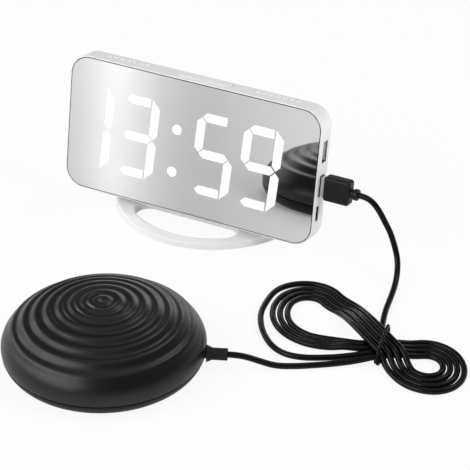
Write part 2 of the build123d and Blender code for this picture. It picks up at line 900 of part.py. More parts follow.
head_hole = screw_head_diameter / 2 + screw_hole_fit


def shaker_top():
    shell = (shell_form - shell_hollow) & above_seam
    for x, y in boss_places:
        boss = Pos(x, y, shaker_seam_z) * Cylinder(
            shell_boss_diameter / 2, shaker_height, align=(Align.CENTER, Align.CENTER, Align.MIN)
        )
        shell += boss & shell_hollow
        shell -= Pos(x, y, shaker_seam_z) * Cylinder(pilot, 2 * screw_length)
    return shell - relief_hole - seam_cut


def shaker_bottom():
    shell = (shell_form - shell_hollow) - above_seam
    for x, y in boss_places:
        sleeve = Pos(x, y, shaker_base_z) * Cylinder(
            shell_boss_diameter / 2,
            shaker_seam_z - shaker_base_z,
            align=(Align.CENTER, Align.CENTER, Align.MIN),
        )
        shell += sleeve
        shell -= Pos(x, y, shaker_seam_z / 2) * Cylinder(clear_hole, 2 * shaker_seam_z)
        shell -= Pos(x, y, 0) * Cylinder(head_hole, 2 * floor_top)
    for place in pad_places:
        shell -= place * Cylinder(pad_radius, 2 * pad_height)
    return shell - relief_hole - seam_cut


pad_places = []
for number in range(pad_count):
    turn = pad_turn + number * 360 / pad_count
    pad_places.append(Rot(0, 0, turn) * Pos(pad_ring_radius, 0, 0))
foot_pads = []
for place in pad_places:
    pad = Cylinder(pad_radius, pad_height, align=(Align.CENTER, Align.CENTER, Align.MIN))
    foot_pads.append(place * pad)
shell_screws = []
for x, y in boss_places:
    screw = cross_screw(screw_diameter, screw_length, screw_head_diameter, screw_head_height)
    shell_screws.append(Pos(x, y, floor_top) * Rot(180, 0, 0) * screw)
save("shaker_top_shell", shaker_top(), shaker_frame)
save("shaker_bottom_shell", shaker_bottom(), shaker_frame)
save("shaker_foot_pads", Compound(foot_pads), shaker_frame)
save("shaker_screws", Compound(shell_screws), shaker_frame)


# Strain relief: flange inside, neck in the wall, flare and collar outside
def strain_relief():
    flange_start = relief_neck_inside - relief_flange_thickness
    flare_start = shaker_radius + relief_fit
    flare_end = flare_start + relief_flare_length
    outline = [
        (flange_start, 0),
        (flange_start, relief_flange_diameter / 2),
        (relief_neck_inside, relief_flange_diameter / 2),
        (relief_neck_inside, relief_neck_diameter / 2),
        (flare_start, relief_neck_diameter / 2),
        (flare_start, relief_flare_diameter / 2),
        (flare_end, relief_collar_diameter / 2),
        (relief_reach, relief_collar_diameter / 2),
        (relief_reach, 0),
    ]
    half = Plane.XZ * Polygon(*outline, align=None)
    return relief_out * Pos(0, 0, shaker_seam_z) * revolve(half, Axis.X)


save("strain_relief", strain_relief(), shaker_frame)


# Motor with its shaft and eccentric weight, held in a cradle on the shaker's floor
motor_frame = shaker_frame * Pos(motor_front_x, 0, motor_axis_z)
along_x = Rot(0, 90, 0)
motor_can = along_x * Cylinder(
    motor_diameter / 2, motor_length, align=(Align.CENTER, Align.CENTER, Align.MAX)
)
motor_nose = along_x * Cylinder(
    motor_nose_diameter / 2, motor_nose_length, align=(Align.CENTER, Align.CENTER, Align.MIN)
)
motor_bore = along_x * Cylinder(
    shaft_diameter / 2 + shaft_fit, 2 * (shaft_inside + shaft_fit)
)
motor_shaft = Pos(-shaft_inside, 0, 0) * along_x * Cylinder(
    shaft_diameter / 2,
    shaft_inside + shaft_length,
    align=(Align.CENTER, Align.CENTER, Align.MIN),
)
weight_start = motor_nose_length + weight_gap
half_disc = Circle(weight_radius) - Pos(0, weight_radius) * Rectangle(
    2 * weight_radius, 2 * weight_radius
)
weight_plan = half_disc + Circle(weight_hub_radius) - Circle(shaft_diameter / 2)
weight_plane = Plane(origin=(weight_start, 0, 0), x_dir=(0, 1, 0), z_dir=(1, 0, 0))
eccentric_weight = extrude(weight_plane * weight_plan, amount=weight_thickness)
can_radius = motor_diameter / 2 + cradle_fit
drop_to_floor = motor_axis_z - floor_top
cradle_half = can_radius + cradle_wall
cradle_side = Rectangle(2 * cradle_half, drop_to_floor, align=(Align.CENTER, Align.MAX))
cradle_side += Circle(cradle_half)
cradle_foot_face = Pos(0, -drop_to_floor) * Rectangle(
    2 * (cradle_half + cradle_foot), cradle_foot_thickness, align=(Align.CENTER, Align.MIN)
)
cradle_side += cradle_foot_face
cradle_side -= Circle(can_radius)
cradle_start = -(motor_length + cradle_length) / 2
cradle_plane = Plane(origin=(cradle_start, 0, 0), x_dir=(0, 1, 0), z_dir=(1, 0, 0))
motor_cradle = extrude(cradle_plane * cradle_side, amount=cradle_length)
save("motor_can", motor_can + motor_nose - motor_bore, motor_frame)
save("motor_cradle", motor_cradle, motor_frame)
save("motor_shaft", motor_shaft, motor_frame)
save("eccentric_weight", eccentric_weight, motor_frame)


# Cord: straight runs and tangent arcs, each carrying on from the one before
def plan_direction(heading):
    """A level unit vector at a heading in degrees from +X."""
    turn = math.radians(heading)
    return Vector(math.cos(turn), math.sin(turn), 0)


class CordRoute:
    """The centre line of a cord, drawn forward from its start."""

    def __init__(self, start, heading):
        self.point = Vector(*start)
        self.heading = heading
        self.edges = []

    def arc_to(self, middle, end):
        self.edges.append(ThreePointArc(self.point, middle, end))
        self.point = end

    def run(self, length):
        """Go straight ahead, level."""
        end = self.point + plan_direction(self.heading) * length
        self.edges.append(Line(self.point, end))
        self.point = end

    def turn(self, angle, radius):
        """Turn on the level, to the left when the angle is positive."""
        side = math.copysign(90, angle)
        centre = self.point + plan_direction(self.heading + side) * radius
        middle = centre + plan_direction(self.heading + angle / 2 - side) * radius
        end = centre + plan_direction(self.heading + angle - side) * radius
        self.arc_to(middle, end)
        self.heading += angle

    def climb(self, rise, radius):
        """Rise or fall by two equal and opposite arcs, staying on the same heading."""
        lean = math.acos(1 - abs(rise) / (2 * radius))
        ahead = plan_direction(self.heading)
        up = Vector(0, 0, math.copysign(1, rise))
        start = self.point

        def first(angle):
            return start + ahead * (radius * math.sin(angle)) + up * (radius * (1 - math.cos(angle)))

        end = start + ahead * climb_length(rise, radius) + Vector(0, 0, rise)

        def second(angle):
            return end - ahead * (radius * math.sin(angle)) - up * (radius * (1 - math.cos(angle)))

        self.arc_to(first(lean / 2), first(lean))
        self.arc_to(second(lean / 2), end)


def climb_length(rise, radius):
    """How far ahead a climb takes the cord."""
    lean = math.acos(1 - abs(rise) / (2 * radius))
    return 2 * radius * math.sin(lean)


def runs_to_line(start, heading, turns, line_point):
    """Straight runs before and after some turns that bring a cord through a point on its new line."""
    trial = CordRoute((0, 0, 0), heading)
    for angle, radius in turns:
        trial.turn(angle, radius)
    left_over = line_point - start - trial.point
    before = plan_direction(heading)
    after = plan_direction(trial.heading)
    cross = before.X * after.Y - before.Y * after.X
    run_before = (left_over.X * after.Y - left_over.Y * after.X) / cross
    run_after = (before.X * left_over.Y - before.Y * left_over.X) / cross
    return run_before, run_after


cord_level = cord_floor + cord_diameter / 2
waist = Vector(*hank_waist, cord_level)
bent_heading = level_heading + level_bend
half_bend = math.radians(level_bend / 2)
crossing_angle = math.radians(bent_heading + 180 - rising_heading)
full_lift = waist_lift + crossing_lift


def level_offset(strand):
    """Sideways place of a level strand, the lead being strand nil."""
    return (strand - hank_passes / 2) * hank_pitch


def level_corner(strand):
    """Where a level strand's two straight stretches would meet."""
    middle = waist - plan_direction(bent_heading) * bend_before_waist
    sideways = plan_direction(level_heading + level_bend / 2 + 90)
    return middle + sideways * (level_offset(strand) / math.cos(half_bend))


def strand_bend_radius(strand):
    return level_bend_radius - level_offset(strand)


def rising_offset(number):
    """Sideways place of a rising strand, the first being on the right of its heading."""
    return ((hank_passes + 1) / 2 - number) * hank_pitch


def add_pass(route, number, run_in):
    """One right-hand loop and one left-hand loop; returns the run left to the next bend."""
    strand = number - 1
    bend_start = strand_bend_radius(strand) * math.tan(half_bend)
    route.run(run_in - bend_start - climb_length(waist_lift, climb_radius))
    route.climb(waist_lift, climb_radius)
    route.turn(level_bend, strand_bend_radius(strand))
    abreast = waist + plan_direction(bent_heading + 90) * level_offset(strand)
    to_waist = (abreast - route.point).dot(plan_direction(bent_heading))
    route.run(to_waist + level_past_waist)
    route.climb(-waist_lift, climb_radius)
    right_turn = bent_heading + 360 - rising_heading
    right_turns = [
        (-right_far_turn, right_top_radius + strand * right_top_step),
        (right_far_turn - right_turn, right_low_radius + strand * right_low_step),
    ]
    line_point = waist + plan_direction(rising_heading - 90) * rising_offset(number)
    before, after = runs_to_line(route.point, route.heading, right_turns, line_point)
    route.run(before)
    for angle, radius in right_turns:
        route.turn(angle, radius)
    route.heading = rising_heading
    last_level = -level_offset(0) + math.cos(crossing_angle) * rising_offset(number)
    high_before = last_level / math.sin(crossing_angle) - rising_short_of_crossing
    route.run(after - high_before - climb_length(full_lift, climb_radius))
    route.climb(full_lift, climb_radius)
    route.run(high_before + rising_past_waist)
    route.climb(-full_lift, descent_radius)
    inward = hank_passes - number
    spread = left_outer_spread_low if number == 1 else 0.0
    left_turn = level_heading + 360 - rising_heading
    left_turns = [
        (left_far_turn, left_top_radius + inward * left_top_step),
        (left_turn - left_far_turn, left_low_radius + inward * left_low_step + spread),
    ]
    before, after = runs_to_line(route.point, route.heading, left_turns, level_corner(number))
    route.run(before)
    for angle, radius in left_turns:
        route.turn(angle, radius)
    route.heading = level_heading
    return after


def hank_route():
    entry_turn = level_heading - lead_heading
    entry_tangent = lead_bend_radius * math.tan(math.radians(abs(entry_turn) / 2))
    bend_point = level_corner(0) - plan_direction(level_heading) * (lead_level_run + entry_tangent)
    start = bend_point - plan_direction(lead_heading) * (entry_tangent + lead_entry_run)
    route = CordRoute((start.X, start.Y, cord_level), lead_heading)
    route.run(lead_entry_run)
    route.turn(entry_turn, lead_bend_radius)
    route.heading = level_heading
    run_in = lead_level_run
    for number in range(1, hank_passes + 1):
        run_in = add_pass(route, number, run_in)
    route.run(run_in - tail_before_bend)
    route.turn(tail_turn, tail_turn_radius)
    return start, route


def tube(name, edges):
    """A round tube along a wire, its volume compared with section times length."""
    wire = Wire(edges)
    section = Plane(origin=wire @ 0, z_dir=wire % 0) * Circle(cord_diameter / 2)
    solid = sweep(section, path=wire)
    expected = math.pi * cord_diameter**2 / 4 * wire.length
    print(f"{name}: length {wire.length:.1f} mm, volume share {solid.volume / expected:.4f}")
    save(name, solid)


def least_gap(edges):
    """Least clear distance between stretches of the cord that aren't neighbours."""
    places = []
    travelled = 0.0
    for edge in edges:
        steps = max(2, math.ceil(edge.length / sample_step))
        for step in range(steps):
            spot = edge.position_at(step / steps)
            places.append((travelled + edge.length * step / steps, (spot.X, spot.Y, spot.Z)))
        travelled += edge.length
    least = math.inf
    for index, (here, spot) in enumerate(places):
        for there, other in places[index + 1:]:
            if there - here > neighbour_length:
                least = min(least, math.dist(spot, other))
    return least - cord_diameter


hank_start, hank = hank_route()
tube("cord_hank", hank.edges)
print(f"cord_hank: least gap to itself {least_gap(hank.edges):.2f} mm")


def bent_route(name, points):
    """Straight runs through hand-placed points, each corner rounded as far as its runs allow."""
    points = [Vector(*point) for point in points]
    radii = []
    for before, corner, after in zip(points, points[1:], points[2:]):
        turn = (corner - before).get_angle(after - corner)
        shorter = min((corner - before).length, (after - corner).length)
        radii.append(0.45 * shorter / math.tan(math.radians(turn / 2)))
    print(f"{name}: bend radii", " ".join(f"{radius:.0f}" for radius in radii))
    return FilletPolyline(*points, radius=radii).edges()


relief_end = point_in(shaker_frame * relief_out, relief_reach, 0, shaker_seam_z)
lead_out = plan_direction(relief_angle)
lead_in = plan_direction(lead_heading)
lead_points = [
    relief_end,
    relief_end + lead_out * run_out_of_relief,
    (107.0, -125.8, 4.4),
    (115.0, -120.4, cord_level + 0.1),
    hank_start - lead_in * run_into_hank,
    hank_start,
]
plug_axis = clock_frame * Pos(0, usb_depth, usb_lower_z)
boot_end_x = port_face_x + plug_metal_showing + plug_body_length + boot_length
plug_exit = point_in(plug_axis, boot_end_x, 0, 0)
tail_out = plan_direction(hank.heading)
tail_points = [
    hank.point,
    hank.point + tail_out * run_out_of_hank,
    (145.5, -46.5, cord_level),
    (142.9, -34.0, cord_level),
    (140.2, -21.5, cord_level + 0.3),
    (137.4, -11.6, 4.6),
    (134.5, -5.2, 10.4),
    (130.8, -2.9, 18.6),
    (127.8, -2.3, 25.2),
    plug_exit + Vector(16.8, 0.4, -13.2),
    plug_exit + Vector(13.8, 0.2, -7.8),
    plug_exit + Vector(10.0, 0, -2.9),
    plug_exit + Vector(run_into_plug, 0, 0),
    plug_exit,
]
tube("cord_lead", bent_route("cord_lead", lead_points))
tube("cord_tail", bent_route("cord_tail", tail_points))


# Wire tie: an upright closed loop round the waist, with its twisted ends on the near side
def cord_tie():
    high = cord_level + full_lift + cord_diameter / 2 + tie_gap + tie_diameter / 2
    low = cord_floor + tie_bottom_gap + tie_diameter / 2
    plane = Plane(
        origin=(*tie_centre, (high + low) / 2),
        x_dir=plan_direction(tie_heading),
        z_dir=plan_direction(tie_heading - 90),
    )
    middle = (tie_north - tie_south) / 2
    loop = RectangleRounded(tie_north + tie_south, high - low, tie_corner_radius)
    path = (plane * Pos(middle, 0) * loop).faces()[0].outer_wire()
    section = Plane(origin=path @ 0, z_dir=path % 0) * Circle(tie_diameter / 2)
    ring = sweep(section, path=path)
    twist = Cylinder(tie_twist_diameter / 2, tie_twist_length)
    twist = plane.location * Pos(-tie_south, 0, 0) * Rot(90, 0, 0) * twist
    return ring + twist


save("cord_tie", cord_tie())


# USB plug: metal shell in the outlet, insulator, overmoulded body with its boot
shell_start = port_face_x - plug_metal_inside
body_start = port_face_x + plug_metal_showing
shell_length = body_start + plug_metal_root - shell_start
from_start = (Align.MIN, Align.CENTER, Align.CENTER)
metal_outer = Box(shell_length, plug_metal_width, plug_metal_height, align=from_start)
metal_hollow = Box(
    shell_length,
    plug_metal_width - 2 * plug_metal_wall,
    plug_metal_height - 2 * plug_metal_wall,
    align=from_start,
)
plug_shell = Pos(shell_start, 0, 0) * (metal_outer - metal_hollow)
free_half = usb_tongue_offset - usb_tongue_thickness / 2 - insulator_fit
insulator_low = -(plug_metal_width / 2 - plug_metal_wall)
insulator = box_between(
    (shell_start, insulator_low, -(plug_metal_height / 2 - plug_metal_wall)),
    (
        shell_start + insulator_length,
        free_half,
        plug_metal_height / 2 - plug_metal_wall,
    ),
)
plug_body = Pos(body_start, 0, 0) * Box(
    plug_body_length, plug_body_width, plug_body_height, align=from_start
)
plug_body = fillet(plug_body.edges(), plug_body_rounding)
plug_body -= Pos(body_start, 0, 0) * Box(
    plug_metal_root, plug_metal_width, plug_metal_height, align=from_start
)
boot_start = body_start + plug_body_length
boot_neck = Pos(boot_start, 0, 0) * along_x * Cylinder(
    boot_neck_diameter / 2, boot_neck_length, align=(Align.CENTER, Align.CENTER, Align.MIN)
)
boot_collar = Cylinder(
    boot_collar_diameter / 2, boot_collar_length, align=(Align.CENTER, Align.CENTER, Align.MIN)
)
boot_collar = fillet(boot_collar.edges().filter_by(GeomType.CIRCLE), boot_collar_rounding)
boot_collar = Pos(boot_start + boot_neck_length, 0, 0) * along_x * boot_collar
save("usb_plug_shell", plug_shell, plug_axis)
save("usb_plug_insulator", insulator, plug_axis)
save("usb_plug_body", plug_body + boot_neck + boot_collar, plug_axis)
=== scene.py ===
import logging
import math
from dataclasses import dataclass
from enum import Enum

import bpy
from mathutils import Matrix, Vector


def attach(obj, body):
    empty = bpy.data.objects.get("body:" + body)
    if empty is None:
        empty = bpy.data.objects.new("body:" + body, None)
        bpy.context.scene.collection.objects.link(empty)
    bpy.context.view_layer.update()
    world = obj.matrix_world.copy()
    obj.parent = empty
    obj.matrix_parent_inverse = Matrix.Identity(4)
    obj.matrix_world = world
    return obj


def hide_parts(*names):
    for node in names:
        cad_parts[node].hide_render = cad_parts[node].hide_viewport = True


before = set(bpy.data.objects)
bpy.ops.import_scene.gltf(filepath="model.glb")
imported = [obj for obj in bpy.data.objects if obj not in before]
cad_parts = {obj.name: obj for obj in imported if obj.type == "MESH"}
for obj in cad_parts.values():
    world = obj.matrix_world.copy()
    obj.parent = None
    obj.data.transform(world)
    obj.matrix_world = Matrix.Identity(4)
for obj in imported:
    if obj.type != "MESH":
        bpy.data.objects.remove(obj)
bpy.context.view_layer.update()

log = logging.getLogger("bed_shaker_clock")
MM = 0.001
WHITE = (1.0, 1.0, 1.0)
NOISE_MIDDLE = 0.5
NEW_STOP = 0.5
MERGE_WITHIN = 0.002  # millimetres
TUBE_STEPS = 4
WIRE_CREASE = 50.0  # degrees
TURNED_CREASE = 40.0  # degrees
Colour = tuple[float, float, float]
Point = tuple[float, float, float]
Spot = tuple[float, float]
Radii = tuple[float, float]
Stops = tuple[tuple[float, float], ...]
Sockets = dict[str | int, object]


class Signal:
    """A shader socket that takes part in Python arithmetic."""

    def __init__(self, graph: "Graph", socket: bpy.types.NodeSocket) -> None:
        """Wrap one output socket of a graph."""
        self.graph = graph
        self.socket = socket

    def __add__(self, other: "Signal | float") -> "Signal":
        """The sum of two signals."""
        return self.graph.maths("ADD", self, other)

    def __sub__(self, other: "Signal | float") -> "Signal":
        """This signal less another."""
        return self.graph.maths("SUBTRACT", self, other)

    def __mul__(self, other: "Signal | float") -> "Signal":
        """The product of two signals."""
        return self.graph.maths("MULTIPLY", self, other)

    def __pow__(self, other: float) -> "Signal":
        """This signal raised to a power."""
        return self.graph.maths("POWER", self, other)


class Graph:
    """The node graph of one material or of the surroundings."""

    def __init__(self, owner: bpy.types.Material | bpy.types.World) -> None:
        """Start with an empty graph."""
        self.owner = owner
        owner.use_nodes = True
        self.tree = owner.node_tree
        self.tree.nodes.clear()

    def node(
        self, kind: str, settings: dict[str, object] | None = None, inputs: Sockets | None = None
    ) -> bpy.types.Node:
        """Add one node.

        Args:
            kind: The node's type.
            settings: Its properties, by name.
            inputs: Values or signals for its sockets, by name or number.

        Returns:
            The new node.
        """
        made = self.tree.nodes.new(kind)
        for key, value in (settings or {}).items():
            setattr(made, key, value)
        for key, value in (inputs or {}).items():
            self.feed(made.inputs[key], value)
        return made

    def feed(self, socket: bpy.types.NodeSocket, value: object) -> None:
        """Link a signal to a socket, or set the socket's own value."""
        if isinstance(value, Signal):
            self.tree.links.new(value.socket, socket)
        elif socket.type == "RGBA" and len(value) == 3:
            socket.default_value = (*value, 1.0)
        else:
            socket.default_value = value

    def out(self, node: bpy.types.Node, name: str | int = 0) -> Signal:
        """One output of a node as a signal."""
        return Signal(self, node.outputs[name])

    def maths(self, operation: str, first: object, second: object) -> Signal:
        """A Math node on two values."""
        made = self.node("ShaderNodeMath", {"operation": operation}, {0: first, 1: second})
        return self.out(made)

    def place(self, scale: Point = (1.0, 1.0, 1.0)) -> Signal:
        """Object coordinates, stretched along each axis."""
        coordinates = self.node("ShaderNodeTexCoord")
        inputs = {"Vector": self.out(coordinates, "Object"), "Scale": scale}
        return self.out(self.node("ShaderNodeMapping", {"vector_type": "POINT"}, inputs))

    def axis(self, vector: Signal, name: str) -> Signal:
        """One axis of a vector."""
        return self.out(self.node("ShaderNodeSeparateXYZ", None, {0: vector}), name)

    def noise(self, scale: float, detail: float = 2.0, where: Signal | None = None) -> Signal:
        """Even noise of about that many features to the metre."""
        inputs = {"Scale": scale, "Detail": detail, "Vector": where or self.place()}
        return self.out(self.node("ShaderNodeTexNoise", None, inputs), "Fac")

    def ramp(self, factor: Signal, stops: Stops, easing: str = "LINEAR") -> Signal:
        """A grey that follows a factor.

        Args:
            factor: Where on the ramp to look.
            stops: Pairs of position and level.
            easing: How the ramp goes from stop to stop.

        Returns:
            The grey at that place.
        """
        made = self.node("ShaderNodeValToRGB", None, {0: factor})
        made.color_ramp.interpolation = easing
        elements = made.color_ramp.elements
        while len(elements) < len(stops):
            elements.new(NEW_STOP)
        for element, (position, level) in zip(elements, stops):
            element.position = position
            element.color = (level, level, level, 1.0)
        return self.out(made)

    def tint(self, factor: Signal, low: Colour | Signal, high: Colour) -> Signal:
        """A colour between two, by a factor."""
        inputs = {0: factor, 6: low, 7: high}
        return self.out(self.node("ShaderNodeMix", {"data_type": "RGBA"}, inputs), 2)

    def bump(self, height: Signal, depth: float) -> Signal:
        """A normal from a height that stands for that depth in metres."""
        inputs = {"Height": height, "Distance": depth}
        return self.out(self.node("ShaderNodeBump", None, inputs), "Normal")

    def normal(self) -> Signal:
        """The surface's own normal."""
        return self.out(self.node("ShaderNodeNewGeometry"), "Normal")

    def swung_normal(self, nod: float, swing: float) -> Signal:
        """The surface's own normal, nodded and then swung round by some degrees."""
        angles = (math.radians(nod), 0.0, math.radians(swing))
        inputs = {"Vector": self.normal(), "Rotation": angles}
        return self.out(self.node("ShaderNodeVectorRotate", {"rotation_type": "EULER_XYZ"}, inputs))

    def close(self, shader: bpy.types.Node) -> None:
        """Join the last shader to the output."""
        of_world = isinstance(self.owner, bpy.types.World)
        kind = "ShaderNodeOutputWorld" if of_world else "ShaderNodeOutputMaterial"
        self.node(kind, None, {"Surface": self.out(shader)})


def shaded(colour: Colour, share: float) -> Colour:
    """A colour made lighter or darker by a share."""
    return tuple(min(1.0, level * (1.0 + share)) for level in colour)


@dataclass(frozen=True)
class Finish:
    """A surface whose colour, gloss and grain come from noise at its own scale."""

    name: str
    colour: Colour
    roughness: float
    cloud: float = 0.02
    cloud_scale: float = 45.0
    cloud_detail: float = 3.0
    gloss_drift: float = 0.06
    gloss_scale: float = 180.0
    gloss_detail: float = 4.0
    grain_scale: float = 2600.0
    grain_depth: float = 0.00001
    metallic: float = 0.0
    coat: float = 0.0
    coat_roughness: float = 0.08
    specular: float = 0.5

    def clouded(self, graph: Graph) -> Signal:
        """The colour with faint clouds in it."""
        clouds = graph.noise(self.cloud_scale, self.cloud_detail)
        return graph.tint(
            clouds, shaded(self.colour, -self.cloud), shaded(self.colour, self.cloud)
        )

    def pattern(self, graph: Graph) -> Sockets:
        """The sockets that change over the surface.

        Args:
            graph: The material's graph.

        Returns:
            Signals for the shader, by socket name.
        """
        drift = graph.noise(self.gloss_scale, self.gloss_detail)
        grain = graph.noise(self.grain_scale)
        return {
            "Base Color": self.clouded(graph),
            "Roughness": (drift - NOISE_MIDDLE) * self.gloss_drift + self.roughness,
            "Normal": graph.bump(grain, self.grain_depth),
        }

    def material(self) -> bpy.types.Material:
        """Build the material once and hand it out after that."""
        title = f"{self.name}_finish"
        known = bpy.data.materials.get(title)
        if known is not None:
            return known
        made = bpy.data.materials.new(title)
        graph = Graph(made)
        sockets: Sockets = {
            "Metallic": self.metallic,
            "Roughness": self.roughness,
            "Coat Weight": self.coat,
            "Coat Roughness": self.coat_roughness,
            "Specular IOR Level": self.specular,
        }
        sockets.update(self.pattern(graph))
        graph.close(graph.node("ShaderNodeBsdfPrincipled", None, sockets))
        return made


@dataclass(frozen=True)
class SilveredFinish(Finish):
    """A half-silvered face whose colour carries a painted reflection, lighter in a band on the
    left, with faint wipe marks.

    Its normal is turned a little, so that it shows the shaker where the photo does.
    """

    wipe: float = 0.03
    wipe_power: float = 2.0
    wipe_scale: float = 30.0
    wipe_along: Point = (1.0, 1.0, 5.0)
    width: float = 0.165
    middle: float = 0.5
    nod: float = 0.8
    swing: float = -3.3
    # painted reflection: the face's colour by place across it, lighter in a band on the left and
    # darker to the right
    painted_reflection: Stops = (
        (0.0, 0.66),
        (0.1, 0.84),
        (0.18, 1.0),
        (0.26, 0.88),
        (0.38, 0.62),
        (0.52, 0.52),
        (0.66, 0.55),
        (1.0, 0.7),
    )

    def pattern(self, graph: Graph) -> Sockets:
        """Wiped bands in the gloss, the painted reflection across the face and the turned normal.
        """
        across = graph.axis(graph.place(), "X") * (1.0 / self.width) + self.middle
        bands = graph.noise(self.wipe_scale, self.cloud_detail, graph.place(self.wipe_along))
        return {
            # the base colour is the painted reflection across the face
            "Base Color": graph.ramp(across, self.painted_reflection, "B_SPLINE"),
            "Roughness": bands**self.wipe_power * self.wipe + self.roughness,
            "Normal": graph.swung_normal(self.nod, self.swing),
        }


@dataclass(frozen=True)
class LitFinish(Finish):
    """A smoky diffuser lit from behind, its light slightly uneven."""

    glow: float = 0.84
    smoke: float = 0.8
    uneven_scale: float = 120.0
    uneven_detail: float = 1.0

    def pattern(self, graph: Graph) -> Sockets:
        """Slow unevenness in the light of the segments."""
        uneven = graph.noise(self.uneven_scale, self.uneven_detail)
        return {
            "Base Color": shaded(self.colour, -self.smoke),
            "Emission Color": graph.tint(uneven, shaded(self.colour, -self.cloud), self.colour),
            "Emission Strength": self.glow,
        }


@dataclass(frozen=True)
class BrushedFinish(Finish):
    """Sheet or turned metal with fine lines drawn out along one direction."""

    along: Point = (0.06, 1.0, 1.0)
    line_scale: float = 1500.0
    line_detail: float = 3.0
    cloud_detail: float = 2.0
    metallic: float = 1.0

    def pattern(self, graph: Graph) -> Sockets:
        """Drawn-out lines in the gloss and the height."""
        lines = graph.noise(self.line_scale, self.line_detail, graph.place(self.along))
        return {
            "Base Color": self.clouded(graph),
            "Roughness": lines * self.gloss_drift + self.roughness,
            "Normal": graph.bump(lines, self.grain_depth),
        }


@dataclass(frozen=True)
class OutletFinish(BrushedFinish):
    """Sheet metal with painted shade, dark over one stretch of the outlet's axis, in metres."""

    # painted shade: the colour goes dark over this stretch along X and on faces that point up more
    # than the slope, standing in for shadow in the outlet
    painted_shade_from: float = 0.08295
    painted_shade_to: float = 0.1
    painted_shade_slope: float = 0.5
    # the colour of the painted shade
    dark: Colour = (0.004, 0.004, 0.004)

    def pattern(self, graph: Graph) -> Sockets:
        """The metal's lines, with painted shade over that stretch and where the metal faces up."""
        sockets = super().pattern(graph)
        along = graph.axis(graph.place(), "X")
        past_start = graph.maths("GREATER_THAN", along, self.painted_shade_from)
        before_end = graph.maths("LESS_THAN", along, self.painted_shade_to)
        upward = graph.axis(graph.normal(), "Z")
        faces_up = graph.maths("GREATER_THAN", upward, self.painted_shade_slope)
        in_painted_shade = graph.maths("MAXIMUM", past_start * before_end, faces_up)
        # painted shade laid over the metal's colour
        sockets["Base Color"] = graph.tint(in_painted_shade, sockets["Base Color"], self.dark)
        return sockets


@dataclass(frozen=True)
class BoardFinish(Finish):
    """Solder mask over a raised lattice of tracks."""

    track_scale: float = 420.0
    track_shade: float = 0.5
    track_edge: Stops = ((0.02, 1.0), (0.12, 0.0))

    def pattern(self, graph: Graph) -> Sockets:
        """Cells edged by tracks that stand up under the mask."""
        cells = graph.node(
            "ShaderNodeTexVoronoi",
            {"feature": "DISTANCE_TO_EDGE"},
            {"Vector": graph.place(), "Scale": self.track_scale},
        )
        tracks = graph.ramp(graph.out(cells, "Distance"), self.track_edge)
        return {
            "Base Color": graph.tint(tracks, self.colour, shaded(self.colour, self.track_shade)),
            "Roughness": graph.noise(self.gloss_scale) * self.gloss_drift + self.roughness,
            "Normal": graph.bump(tracks, self.grain_depth),
        }


class Finishes(Enum):
    """Every finish on the object."""

    CASE = Finish("white_case", (0.88, 0.88, 0.885), 0.2, 0.012, coat=0.25, grain_depth=0.000004)
    BUTTON = Finish("white_button", (0.9, 0.9, 0.905), 0.24, 0.012, coat=0.2, grain_depth=0.000004)
    KNOB = Finish("black_knob", (0.025, 0.025, 0.026), 0.45, 0.1)
    # its colour is a painted reflection, lighter in a band on the left
    MIRROR = SilveredFinish("mirror_glass", (0.76, 0.76, 0.755), 0.015, 0.015, metallic=1.0)
    LIT = LitFinish("lit_white", WHITE, 0.4, 0.03)
    REFLECTOR = Finish("reflector_white", (0.86, 0.86, 0.86), 0.55, 0.02)
    BOARD = BoardFinish("board", (0.03, 0.2, 0.09), 0.35, grain_depth=0.00004)
    CHIP = Finish("chip", (0.88, 0.84, 0.66), 0.3, 0.05)
    # painted shade: the outlets' metal is dark in their mouths and where it faces up
    PORT = OutletFinish(
        "port_metal", (0.95, 0.92, 0.87), 0.42, 0.03, metallic=0.1, grain_depth=0.000003
    )
    # painted shade: the plug's metal is dark where it goes into the outlet, and never for facing up
    PLATED = OutletFinish(
        "bright_metal",
        (0.7, 0.685, 0.66),
        0.3,
        0.03,
        metallic=0.85,
        grain_depth=0.000003,
        painted_shade_from=0.0,
        painted_shade_to=0.0842,
        painted_shade_slope=2.0,
    )
    SWITCH = Finish("switch_black", (0.03, 0.03, 0.032), 0.5, 0.1)
    STEEL = BrushedFinish("cell_steel", (0.6, 0.6, 0.61), 0.26, 0.03, grain_depth=0.000004)
    BRASS = BrushedFinish("weight_brass", (0.7, 0.53, 0.24), 0.24, 0.05, grain_depth=0.000004)
    SHELL = Finish(
        "shaker_black", (0.003, 0.003, 0.0031), 0.34, 0.12, grain_depth=0.000007, specular=0.42
    )
    BASE = Finish(
        "shaker_base_black", (0.003, 0.003, 0.0031), 0.36, 0.12, grain_depth=0.000007, specular=0.16
    )
    PAD = Finish("pad_rubber", (0.01, 0.01, 0.01), 0.55, 0.12, grain_depth=0.00002, specular=0.25)
    SEAL = Finish("seal_black", (0.006, 0.006, 0.006), 0.6, 0.12, specular=0.15)
    PLUG = Finish(
        "plug_black", (0.006, 0.006, 0.0061), 0.42, 0.12, grain_depth=0.000012, specular=0.3
    )
    CORD = Finish(
        "cord_black", (0.002, 0.002, 0.0021), 0.24, 0.12, grain_depth=0.000003, specular=0.22
    )
    TIE = Finish("tie_black", (0.003, 0.003, 0.003), 0.28, 0.1, specular=0.18)


Coats = tuple[tuple[Finishes, tuple[str, ...]], ...]


